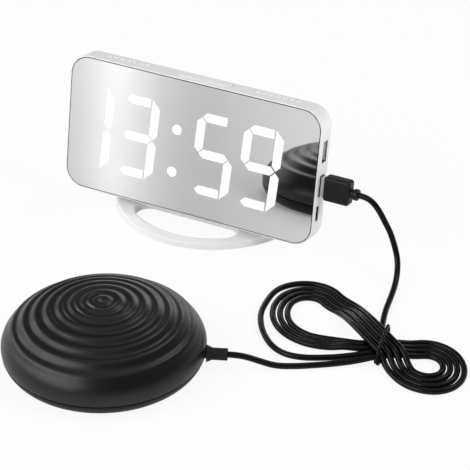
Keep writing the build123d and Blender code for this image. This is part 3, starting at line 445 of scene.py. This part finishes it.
class Bench:
    """The modelling operators, always starting from a clean selection."""

    @staticmethod
    def clear() -> None:
        """Leave edit mode and deselect everything."""
        if bpy.context.object is not None and bpy.context.object.mode != "OBJECT":
            bpy.ops.object.mode_set(mode="OBJECT")
        bpy.ops.object.select_all(action="DESELECT")

    @staticmethod
    def take(name: str) -> bpy.types.Object:
        """Name the piece that was just added and its mesh."""
        piece = bpy.context.object
        piece.name = name
        piece.data.name = name
        return piece

    @staticmethod
    def weld() -> None:
        """Merge the points of the piece in edit mode that lie on one another."""
        bpy.ops.mesh.select_all(action="SELECT")
        bpy.ops.mesh.remove_doubles(threshold=MERGE_WITHIN * MM)

    @staticmethod
    def line(name: str, points: list[Vector]) -> bpy.types.Object:
        """Draw a line of edges by extruding one vertex from point to point, in millimetres."""
        Bench.clear()
        bpy.ops.mesh.primitive_plane_add(size=MM)
        piece = Bench.take(name)
        bpy.ops.object.mode_set(mode="EDIT")
        bpy.ops.mesh.select_all(action="SELECT")
        bpy.ops.mesh.merge(type="CENTER")
        bpy.ops.transform.translate(value=points[0] * MM)
        for before, after in zip(points, points[1:]):
            step = (after - before) * MM
            bpy.ops.mesh.extrude_region_move(TRANSFORM_OT_translate={"value": step})
        Bench.weld()
        bpy.ops.object.mode_set(mode="OBJECT")
        return piece

    @staticmethod
    def wire(name: str, points: list[Vector], thickness: float) -> bpy.types.Object:
        """A round wire along some points, closed where the last point is the first."""
        Bench.line(name, points)
        bpy.ops.object.convert(target="CURVE")
        curve = bpy.context.object.data
        curve.bevel_depth = thickness / 2 * MM
        curve.bevel_resolution = TUBE_STEPS
        curve.use_fill_caps = True
        bpy.ops.object.convert(target="MESH")
        piece = Bench.take(name)
        bpy.ops.object.shade_smooth_by_angle(angle=math.radians(WIRE_CREASE))
        return piece

    @staticmethod
    def turned(name: str, profile: list[Spot], centre: Spot, around: int) -> bpy.types.Object:
        """Turn a profile round an upright axis.

        Args:
            name: The piece's name.
            profile: Radius and height of each point, in millimetres, from the axis to the axis.
            centre: Where the axis stands.
            around: Steps in a whole turn.

        Returns:
            The closed, smooth piece.
        """
        axis = Vector((*centre, 0.0))
        section = [axis + Vector((radius, 0.0, level)) for radius, level in profile]
        piece = Bench.line(name, section)
        bpy.ops.object.mode_set(mode="EDIT")
        bpy.ops.mesh.select_all(action="SELECT")
        bpy.ops.mesh.spin(steps=around, angle=math.tau, center=axis * MM, axis=(0.0, 0.0, 1.0))
        Bench.weld()
        bpy.ops.mesh.normals_make_consistent(inside=False)
        bpy.ops.object.mode_set(mode="OBJECT")
        bpy.ops.object.shade_smooth_by_angle(angle=math.radians(TURNED_CREASE))
        return piece

    @staticmethod
    def joined(first: bpy.types.Object, second: bpy.types.Object) -> bpy.types.Object:
        """Join a second piece to a first, which keeps its name."""
        Bench.clear()
        first.select_set(True)
        second.select_set(True)
        bpy.context.view_layer.objects.active = first
        bpy.ops.object.join()
        return first

    @staticmethod
    def paint(piece: bpy.types.Object, finish: Finishes) -> None:
        """Make a finish the only material of a piece."""
        piece.data.materials.clear()
        piece.data.materials.append(finish.value.material())

    @staticmethod
    def dress(piece: bpy.types.Object, finish: Finishes) -> None:
        """Put one finish on a whole new piece."""
        Bench.paint(piece, finish)

    @staticmethod
    def dress_nodes(coats: Coats) -> None:
        """Put finishes on the model's own nodes, by a table of finishes and node names."""
        for finish, names in coats:
            for name in names:
                Bench.paint(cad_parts[name], finish)
                log.info("dressed %s in %s", name, finish.value.name)


@dataclass
class PhotoCamera:
    """The camera at the picture's own place."""

    place: Point = (0.5398, -0.9865, 0.6767)
    tilt: float = 58.415
    turn: float = 27.522
    lens: float = 165.63
    sensor: float = 36.0
    near: float = 0.05

    def build(self) -> None:
        """Add the camera and make it the scene's."""
        Bench.clear()
        angles = (math.radians(self.tilt), 0.0, math.radians(self.turn))
        bpy.ops.object.camera_add(location=self.place, rotation=angles)
        camera = bpy.context.object
        camera.name = "picture_camera"
        camera.data.lens = self.lens
        camera.data.sensor_width = self.sensor
        camera.data.clip_start = self.near
        bpy.context.scene.camera = camera
        log.info("camera set")


class HankWalker:
    """Walks the hank's line on the table and drops a control point at each corner of it."""

    pace: float = 9.0
    least_corners: int = 3

    def __init__(self, start: Vector, heading: float) -> None:
        """Stand at a start, in millimetres, facing a heading in degrees."""
        self.spot = start.copy()
        self.heading = heading
        self.points: list[Vector] = []

    @staticmethod
    def ahead(heading: float) -> Vector:
        """A level unit vector at a heading."""
        turn = math.radians(heading)
        return Vector((math.cos(turn), math.sin(turn), 0.0))

    def drop(self) -> None:
        """Leave a control point where the walker stands."""
        self.points.append(self.spot.copy())

    def go(self, length: float) -> None:
        """Step straight ahead."""
        self.spot = self.spot + self.ahead(self.heading) * length

    def turn(self, angle: float, radius: float) -> None:
        """Walk round a bend by corners about a pace apart."""
        length = math.radians(abs(angle)) * radius
        corners = max(self.least_corners, round(length / self.pace))
        part = angle / corners
        tangent = radius * math.tan(math.radians(abs(part)) / 2)
        for _ in range(corners):
            self.go(tangent)
            self.drop()
            self.heading += part
            self.go(tangent)

    @staticmethod
    def slope(rise: float, radius: float) -> float:
        """How steep a climb is, in radians."""
        return math.acos(1 - abs(rise) / (2 * radius))

    @staticmethod
    def climb_length(rise: float, radius: float) -> float:
        """How far ahead a climb takes the walker."""
        return 2 * radius * math.sin(HankWalker.slope(rise, radius))

    def climb(self, rise: float, radius: float) -> None:
        """Go up or down over a strand, with a corner at each end of the slope."""
        tangent = radius * math.tan(self.slope(rise, radius) / 2)
        length = self.climb_length(rise, radius)
        self.go(tangent)
        self.drop()
        self.go(length - 2 * tangent)
        self.spot.z += rise
        self.drop()
        self.go(tangent)


@dataclass
class ShakerCord:
    """The cord from the shaker to the plug, in millimetres: lead, tied hank and tail.

    The hank is a figure of eight. Its strands are level where they come from the left and rising
    where they go back over the waist. Paired radii are the innermost strand's and the step from
    one strand to the next. The spots are placed to follow the photo, and the first passes, as
    many as passes_by_hand says, come on to the tie over them.
    """

    tie: bpy.types.Object
    diameter: float = 3.5
    length: float = 1412.4
    relief_end: Point = (90.785, -133.414, 8.0)
    relief_heading: float = 22.0
    plug_end: Point = (107.5, -2.77, 44.23)
    run_out_of_relief: float = 7.5
    run_out_of_hank: float = 8.0
    run_into_plug: float = 5.2
    passes: int = 4
    passes_by_hand: int = 2
    waist: Spot = (159.5, -83.0)
    pitch: float = 4.05
    level_heading: float = 14.0
    level_bend: float = 22.0
    level_bend_radius: float = 30.0
    bend_before_waist: float = 11.0
    level_past_waist: float = 4.0
    rising_heading: float = 144.0
    rising_short: float = 1.5
    rising_past_waist: float = 13.0
    waist_lift: float = 2.0
    crossing_lift: float = 4.2
    climb_radius: float = 10.5
    gentle_radius: float = 35.0
    descent_radius: float = 60.0
    right_far_turn: float = 112.0
    right_top: Radii = (9.0, 4.3)
    right_low: Radii = (9.5, 4.0)
    left_far_turn: float = 126.0
    left_top: Radii = (9.9, 4.1)
    left_low: Radii = (24.8, 4.1)
    left_outer_reach: float = 2.4
    ease: float = 4.0
    slack: float = 4.0
    right_lean: float = 0.003
    right_lean_start: float = 168.0
    tail_before_bend: float = 3.0
    tail_turn: float = 98.0
    tail_turn_radius: float = 12.0
    smoothness: int = 5
    lead_spots: tuple[Point, ...] = (
        (106.5, -126.6, 4.6),
        (114.5, -123.4, 1.95),
        (124.0, -118.6, 1.75),
        (134.0, -112.1, 1.75),
        (144.0, -105.0, 1.8),
        (152.5, -99.1, 2.6),
    )
    outer_spots: tuple[Point, ...] = (
        (82.2, -74.0, 1.75),
        (86.0, -85.5, 1.75),
        (93.6, -97.0, 1.75),
        (103.2, -106.4, 1.75),
        (113.0, -110.8, 1.75),
        (123.5, -109.6, 1.75),
        (133.5, -104.6, 1.75),
        (142.5, -98.9, 1.75),
        (150.2, -94.0, 2.65),
    )
    tail_spots: tuple[Point, ...] = (
        (145.5, -46.5, 1.75),
        (142.9, -34.0, 1.75),
        (140.2, -21.5, 2.05),
        (137.4, -11.6, 4.6),
        (134.5, -5.2, 10.4),
        (130.8, -2.9, 18.6),
        (127.8, -2.3, 25.2),
    )
    spots_from_plug: tuple[Point, ...] = (
        (16.8, 0.4, -13.2),
        (13.8, 0.2, -7.8),
        (10.0, 0.0, -2.9),
    )

    @property
    def level(self) -> float:
        """Height of the cord's middle on the table."""
        return self.diameter / 2

    @property
    def bent_heading(self) -> float:
        """Heading of the level strands past their bend."""
        return self.level_heading + self.level_bend

    def waist_point(self) -> Vector:
        """The middle of the waist, on the table."""
        return Vector((*self.waist, self.level))

    def level_offset(self, strand: int) -> float:
        """Sideways place of a level strand, the lead being strand nil."""
        return (strand - self.passes / 2) * self.pitch

    def rising_offset(self, number: int) -> float:
        """Sideways place of a rising strand."""
        return ((self.passes + 1) / 2 - number) * self.pitch

    def bend_radius(self, strand: int) -> float:
        """Radius of a level strand's bend before the waist."""
        return self.level_bend_radius - self.level_offset(strand)

    def level_corner(self, strand: int) -> Vector:
        """Where a level strand's two straight stretches would meet."""
        half_bend = math.radians(self.level_bend / 2)
        middle = self.waist_point() - HankWalker.ahead(self.bent_heading) * self.bend_before_waist
        sideways = HankWalker.ahead(self.level_heading + self.level_bend / 2 + 90)
        return middle + sideways * (self.level_offset(strand) / math.cos(half_bend))

    def runs_to_line(
        self, walker: HankWalker, turns: list[tuple[float, float]], target: Vector
    ) -> tuple[float, float]:
        """Runs before and after some turns that bring the walker through a point.

        Args:
            walker: The walker where it stands.
            turns: Angles and radii of the turns between the two runs.
            target: A point on the line after the turns.

        Returns:
            The run before the turns and the run after them, up to the point.
        """
        trial = HankWalker(Vector((0, 0, 0)), walker.heading)
        for angle, radius in turns:
            trial.turn(angle, radius)
        left = target - walker.spot - trial.spot
        before = HankWalker.ahead(walker.heading)
        after = HankWalker.ahead(trial.heading)
        cross = before.x * after.y - before.y * after.x
        run_before = (left.x * after.y - left.y * after.x) / cross
        run_after = (before.x * left.y - before.y * left.x) / cross
        return run_before, run_after

    def bend_run(self, strand: int) -> float:
        """How far a level strand's bend starts before its corner."""
        return self.bend_radius(strand) * math.tan(math.radians(self.level_bend / 2))

    def on_tie(self, strand: int) -> Vector:
        """Where a level strand lies on the tie, with its bend behind it."""
        past_corner = HankWalker.ahead(self.bent_heading) * self.bend_run(strand)
        spot = self.level_corner(strand) + past_corner
        spot.z = self.level + self.waist_lift
        return spot

    def leant(self, point: Vector) -> Vector:
        """A hank point, drawn to the front the further it lies out in the right-hand loop."""
        reach = max(0.0, point.x - self.right_lean_start)
        return point - Vector((0.0, self.right_lean * reach * reach, 0.0))

    def rise_to_waist(self, walker: HankWalker, strand: int, run_in: float) -> None:
        """From the left along the table, up on to the tie and round the bend before the waist."""
        climb = walker.climb_length(self.waist_lift, self.gentle_radius)
        walker.go(run_in - self.bend_run(strand) - climb)
        walker.climb(self.waist_lift, self.gentle_radius)
        walker.turn(self.level_bend, self.bend_radius(strand))

    def right_loop(self, walker: HankWalker, number: int) -> None:
        """Over the waist on the level, round the right-hand loop and back across on top."""
        strand = number - 1
        ahead = HankWalker.ahead(self.bent_heading)
        sideways = HankWalker.ahead(self.bent_heading + 90)
        abreast = self.waist_point() + sideways * self.level_offset(strand)
        walker.go((abreast - walker.spot).dot(ahead) + self.level_past_waist)
        walker.climb(-self.waist_lift, self.gentle_radius)
        whole = self.bent_heading + 360 - self.rising_heading
        turns = [
            (-self.right_far_turn, self.right_top[0] + strand * self.right_top[1]),
            (self.right_far_turn - whole, self.right_low[0] + strand * self.right_low[1]),
        ]
        outward = HankWalker.ahead(self.rising_heading - 90)
        target = self.waist_point() + outward * self.rising_offset(number)
        before, after = self.runs_to_line(walker, turns, target)
        walker.go(before)
        for angle, radius in turns:
            walker.turn(angle, radius)
        walker.heading = self.rising_heading
        crossing = math.radians(self.bent_heading + 180 - self.rising_heading)
        last_level = -self.level_offset(0) + math.cos(crossing) * self.rising_offset(number)
        high_before = last_level / math.sin(crossing) - self.rising_short
        full_lift = self.waist_lift + self.crossing_lift
        walker.go(after - high_before - walker.climb_length(full_lift, self.climb_radius))
        walker.climb(full_lift, self.climb_radius)
        walker.go(self.ease)
        walker.drop()
        walker.go(high_before + self.rising_past_waist - self.ease)
        walker.climb(-full_lift, self.descent_radius)
        walker.points[-1] += outward * self.slack

    def left_loop(self, walker: HankWalker, number: int) -> float:
        """Round the left-hand loop, ready for the next strand.

        Args:
            walker: The walker, come down from the waist.
            number: Which pass this is, from one.

        Returns:
            The run that is left to the next strand's bend.
        """
        inward = self.passes - number
        whole = self.level_heading + 360 - self.rising_heading
        turns = [
            (self.left_far_turn, self.left_top[0] + inward * self.left_top[1]),
            (whole - self.left_far_turn, self.left_low[0] + inward * self.left_low[1]),
        ]
        before, after = self.runs_to_line(walker, turns, self.level_corner(number))
        outer = number == 1
        walker.go(before + (self.left_outer_reach if outer else 0.0) - self.ease)
        walker.drop()
        walker.go(self.ease)
        walker.turn(*turns[0])
        if outer:
            self.outer_strand(walker)
            return 0.0
        walker.turn(*turns[1])
        walker.heading = self.level_heading
        return after

    def outer_strand(self, walker: HankWalker) -> None:
        """Lay the first turn's lower strand from given spots, slack and apart from the others."""
        walker.points += [Vector(spot) for spot in self.outer_spots]
        walker.spot = self.on_tie(1)
        walker.heading = self.bent_heading
        walker.drop()

    def hank(self) -> HankWalker:
        """Walk the whole hank, from the lead's place on the tie.

        Returns:
            The walker at its end.
        """
        walker = HankWalker(self.on_tie(0), self.bent_heading)
        walker.drop()
        run_in = 0.0
        for number in range(1, self.passes + 1):
            if number > self.passes_by_hand:
                self.rise_to_waist(walker, number - 1, run_in)
            self.right_loop(walker, number)
            run_in = self.left_loop(walker, number)
        walker.go(run_in - self.tail_before_bend - self.ease)
        walker.drop()
        walker.go(self.ease)
        walker.turn(self.tail_turn, self.tail_turn_radius)
        return walker

    def control_points(self) -> list[Vector]:
        """The cord's control points from the shaker to the plug, in millimetres."""
        walker = self.hank()
        leaving = Vector(self.relief_end)
        plug = Vector(self.plug_end)
        lead = [
            leaving,
            leaving + HankWalker.ahead(self.relief_heading) * self.run_out_of_relief,
            *(Vector(spot) for spot in self.lead_spots),
        ]
        tail = [
            walker.spot + HankWalker.ahead(walker.heading) * self.run_out_of_hank,
            *(Vector(spot) for spot in self.tail_spots),
            *(plug + Vector(spot) for spot in self.spots_from_plug),
            plug + Vector((self.run_into_plug, 0.0, 0.0)),
            plug,
        ]
        return lead + [self.leant(point) for point in walker.points] + tail

    def build(self) -> None:
        """Add the cord as one smooth spline in place of its three solids."""
        curve = bpy.data.curves.new("shaker_cord", "CURVE")
        curve.dimensions = "3D"
        curve.bevel_depth = self.diameter / 2 * MM
        curve.bevel_resolution = TUBE_STEPS
        curve.resolution_u = self.smoothness
        curve.use_fill_caps = True
        points = self.control_points()
        spline = curve.splines.new("NURBS")
        spline.points.add(len(points) - 1)
        for control, point in zip(spline.points, points):
            control.co = (*(point * MM), 1.0)
        spline.order_u = 3
        spline.use_endpoint_u = True
        cord = bpy.data.objects.new("shaker_cord", curve)
        bpy.context.scene.collection.objects.link(cord)
        Bench.dress(cord, Finishes.CORD)
        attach(cord, "base")
        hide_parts("cord_lead", "cord_hank", "cord_tail")
        log.info("cord laid through %d control points", len(points))


@dataclass
class HankTie:
    """The wire round the hank's waist, its end wound round its near leg, in millimetres."""

    centre: Spot = (160.7, -84.4)
    heading: float = 102.0
    north: float = 15.8
    south: float = 13.4
    low: float = 0.95
    high: float = 10.9
    corner: float = 4.0
    corner_steps: int = 8
    wire: float = 1.8
    wound_wire: float = 1.1
    wound_from: float = 3.6
    wound_pitch: float = 1.05
    wound_turns: int = 3
    turn_points: int = 14

    def placed(self, across: float, height: float, aside: float = 0.0) -> Vector:
        """A point of the tie's upright plane, or beside it."""
        along = HankWalker.ahead(self.heading) * across
        beside = HankWalker.ahead(self.heading - 90) * aside
        return Vector((*self.centre, height)) + along + beside

    def loop_points(self) -> list[Vector]:
        """The closed loop, corner by corner, its last point on its first."""
        middles = [
            (self.north - self.corner, self.high - self.corner, 0),
            (self.corner - self.south, self.high - self.corner, 90),
            (self.corner - self.south, self.low + self.corner, 180),
            (self.north - self.corner, self.low + self.corner, 270),
        ]
        points = []
        for across, height, first in middles:
            for step in range(self.corner_steps + 1):
                turn = math.radians(first + step * 90 / self.corner_steps)
                out = self.corner * math.cos(turn)
                up = self.corner * math.sin(turn)
                points.append(self.placed(across + out, height + up))
        return points + points[:1]

    def wound_points(self) -> list[Vector]:
        """The free end, wound round the near leg."""
        reach = (self.wire + self.wound_wire) / 2
        points = []
        for step in range(self.wound_turns * self.turn_points + 1):
            turn = math.tau * step / self.turn_points
            rise = self.wound_wire * self.wound_pitch * step / self.turn_points
            across = reach * math.cos(turn) - self.south
            points.append(self.placed(across, self.wound_from + rise, reach * math.sin(turn)))
        return points

    def build(self) -> bpy.types.Object:
        """Make the loop and the wound end as one piece in place of the plain tie.

        Returns:
            The tie.
        """
        wound = Bench.wire("tie_end", self.wound_points(), self.wound_wire)
        loop = Bench.wire("hank_tie", self.loop_points(), self.wire)
        tie = Bench.joined(loop, wound)
        Bench.dress(tie, Finishes.TIE)
        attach(tie, "base")
        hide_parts("cord_tie")
        log.info("tie wound")
        return tie


@dataclass(frozen=True)
class Lamp:
    """One soft lamp, in metres and watts, which glossy surfaces may or may not show."""

    name: str
    place: Point
    size: tuple[float, float]
    power: float
    in_gloss: bool = True

    def build(self, aim: Vector) -> None:
        """Add the lamp, facing a point."""
        Bench.clear()
        bpy.ops.object.light_add(type="AREA", location=self.place)
        lamp = bpy.context.object
        lamp.name = self.name
        lamp.data.energy = self.power
        lamp.data.shape = "RECTANGLE"
        lamp.data.size, lamp.data.size_y = self.size
        lamp.visible_camera = False
        lamp.visible_glossy = self.in_gloss
        lamp.rotation_euler = (aim - Vector(self.place)).to_track_quat("-Z", "Y").to_euler()
        log.info("%s added", self.name)


@dataclass
class Studio:
    """White table, surroundings that are dark between horizon and zenith, and soft lamps."""

    floor_size: float = 6.0
    floor_level: float = -0.0004
    floor_paint: Colour = (0.93, 0.93, 0.93)
    floor_white: float = 0.9
    floor_gloss: float = 0.3
    aim: Point = (0.03, -0.1, 0.03)
    sky: Stops = (
        (0.0, 0.6),
        (0.14, 0.5),
        (0.36, 0.14),
        (0.7, 0.14),
        (0.88, 0.5),
        (1.0, 0.6),
    )
    lamps: tuple[Lamp, ...] = (
        Lamp("key_lamp", (-0.58, -1.06, 0.76), (1.5, 0.75), 11.5),
        Lamp("left_lamp", (-1.25, -0.2, 0.5), (0.9, 0.5), 3.2),
        Lamp("side_lamp", (1.3, 0.15, 0.85), (0.8, 0.8), 10.5, in_gloss=False),
        Lamp("back_lamp", (0.5, 1.1, 1.6), (0.8, 0.8), 5.0),
    )

    def build(self) -> None:
        """Add the table, the surroundings and the lamps."""
        self.add_floor()
        self.light_world()
        for lamp in self.lamps:
            lamp.build(Vector(self.aim))

    def add_floor(self) -> None:
        """Add a table that shows white with only a soft shadow on it."""
        Bench.clear()
        bpy.ops.mesh.primitive_plane_add(size=self.floor_size, location=(0, 0, self.floor_level))
        floor = Bench.take("table")
        paint = bpy.data.materials.new("table_white")
        graph = Graph(paint)
        path = graph.node("ShaderNodeLightPath")
        in_sight = graph.maths(
            "MAXIMUM", graph.out(path, "Is Camera Ray"), graph.out(path, "Is Transmission Ray")
        )
        in_sight = graph.maths(
            "MAXIMUM", in_sight, graph.out(path, "Is Glossy Ray") * self.floor_gloss
        )
        lit = graph.node("ShaderNodeBsdfDiffuse", None, {"Color": self.floor_paint})
        white = graph.node("ShaderNodeEmission", None, {"Color": WHITE})
        halves = {0: in_sight * self.floor_white, 1: graph.out(lit), 2: graph.out(white)}
        graph.close(graph.node("ShaderNodeMixShader", None, halves))
        floor.data.materials.append(paint)

    def light_world(self) -> None:
        """Make the surroundings pale at the horizon and overhead, and dark between."""
        world = bpy.data.worlds.new("studio")
        bpy.context.scene.world = world
        graph = Graph(world)
        outward = graph.out(graph.node("ShaderNodeTexCoord"), "Generated")
        sky = graph.ramp(graph.axis(outward, "Z"), self.sky, "EASE")
        graph.close(graph.node("ShaderNodeBackground", None, {"Color": sky}))


@dataclass
class ClockHead:
    """The clock's case, its mirror and display, and what is inside it."""

    coats: Coats = (
        (Finishes.CASE, ("front_frame", "rear_cover", "battery_door")),
        (
            Finishes.BUTTON,
            ("snooze_button", "set_button", "up_button", "down_button", "alarm_button"),
        ),
        (Finishes.KNOB, ("slider_knob", "pin_header")),
        (Finishes.MIRROR, ("mirror_panel",)),
        (Finishes.SEAL, ("mirror_seal",)),
        (Finishes.LIT, ("lit_segments",)),
        (Finishes.REFLECTOR, ("segment_reflector",)),
        (Finishes.BOARD, ("led_board", "main_board")),
        (Finishes.CHIP, ("led_chips",)),
        (Finishes.PORT, ("usb_port_upper", "usb_port_lower")),
        (Finishes.SWITCH, ("power_inlet", "tact_switches", "buzzer", "cell_holder")),
        (Finishes.STEEL, ("coin_cell", "case_screws")),
    )

    def build(self) -> None:
        """Dress the clock's nodes."""
        Bench.dress_nodes(self.coats)


@dataclass
class RingStand:
    """The ring that the clock stands on."""

    coats: Coats = ((Finishes.CASE, ("stand_ring",)),)

    def build(self) -> None:
        """Dress the stand."""
        Bench.dress_nodes(self.coats)


@dataclass
class BedShaker:
    """The domed shaker with its motor, in millimetres, its rippled top turned as one piece."""

    centre: Spot = (28.2, -158.7)
    radius: float = 56.0
    height: float = 39.4
    equator: float = 11.7
    wall: float = 2.4
    hip_inset: float = 11.2
    hip_margin: float = 1.1
    seam: float = 8.0
    seam_groove: float = 0.6
    groove_radius: float = 53.9
    lower_radius: float = 55.55
    lower_bulge: float = 0.08
    rim: float = 1.0
    dome_power: float = 1.7
    dome_root: float = 1.92
    first_crest: float = 3.0
    ripple_pitch: float = 6.7
    ripple_end: float = 51.6
    ripple_height: float = 0.55
    around: int = 180
    ripple_points: int = 120
    shoulder_points: int = 8
    coats: Coats = (
        (Finishes.BASE, ("shaker_bottom_shell",)),
        (Finishes.PAD, ("shaker_foot_pads", "strain_relief")),
        (Finishes.STEEL, ("shaker_screws", "motor_can", "motor_shaft")),
        (Finishes.SWITCH, ("motor_cradle",)),
        (Finishes.BRASS, ("eccentric_weight",)),
    )

    def dome(self, radius: float) -> float:
        """Height of the smooth dome at a radius."""
        share = 1 - min(1.0, radius / self.radius) ** self.dome_power
        return self.equator + (self.height - self.equator) * share ** (1 / self.dome_root)

    def rippled(self) -> list[Spot]:
        """The ringed part of the profile, from the dip in the middle outward."""
        points = []
        for step in range(self.ripple_points + 1):
            radius = self.ripple_end * step / self.ripple_points
            wave = math.cos(math.tau * (radius - self.first_crest) / self.ripple_pitch)
            points.append((radius, self.dome(radius) + self.ripple_height * wave))
        return points

    def profile(self) -> list[Spot]:
        """The whole section of the top shell, outside and then inside."""
        points = self.rippled()
        edge = self.ripple_end
        for step in range(1, self.shoulder_points + 1):
            turn = math.radians(step * 90 / self.shoulder_points)
            radius = edge + (self.radius - edge) * math.sin(turn)
            points.append((radius, self.dome(radius)))
        groove_top = self.seam + self.seam_groove / 2
        middle = (self.radius + self.lower_radius) / 2 + self.lower_bulge
        points.append((middle, (self.equator + groove_top) / 2))
        points += [(self.lower_radius, groove_top), (self.groove_radius, groove_top)]
        points += [(self.groove_radius, self.seam), (self.groove_radius - self.rim, self.seam)]
        drop = self.wall + self.ripple_height
        hip = self.radius - self.hip_inset
        points.append((self.radius - self.wall, self.equator))
        points.append((hip, self.dome(hip) - drop - self.hip_margin))
        points.append((hip / 2, self.dome(hip / 2) - drop - self.ripple_height))
        points.append((0.0, self.dome(0.0) - drop - self.ripple_height))
        return points

    def build(self) -> None:
        """Turn the top and dress the shaker's nodes."""
        top = Bench.turned("shaker_dome", self.profile(), self.centre, self.around)
        Bench.dress(top, Finishes.SHELL)
        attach(top, "base")
        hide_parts("shaker_top_shell")
        log.info("shaker top turned")
        Bench.dress_nodes(self.coats)


@dataclass
class CordPlug:
    """The plug in the clock's lower outlet."""

    coats: Coats = (
        (Finishes.PLATED, ("usb_plug_shell",)),
        (Finishes.SWITCH, ("usb_plug_insulator",)),
        (Finishes.PLUG, ("usb_plug_body",)),
    )

    def build(self) -> None:
        """Dress the plug's nodes."""
        Bench.dress_nodes(self.coats)


def main() -> None:
    """Build the scene in order."""
    logging.basicConfig(level=logging.INFO, format="%(message)s")
    bpy.context.scene.view_settings.view_transform = "Standard"
    PhotoCamera().build()
    ShakerCord(HankTie().build()).build()
    Studio().build()
    ClockHead().build()
    RingStand().build()
    BedShaker().build()
    CordPlug().build()


if __name__ == "__main__":
    main()
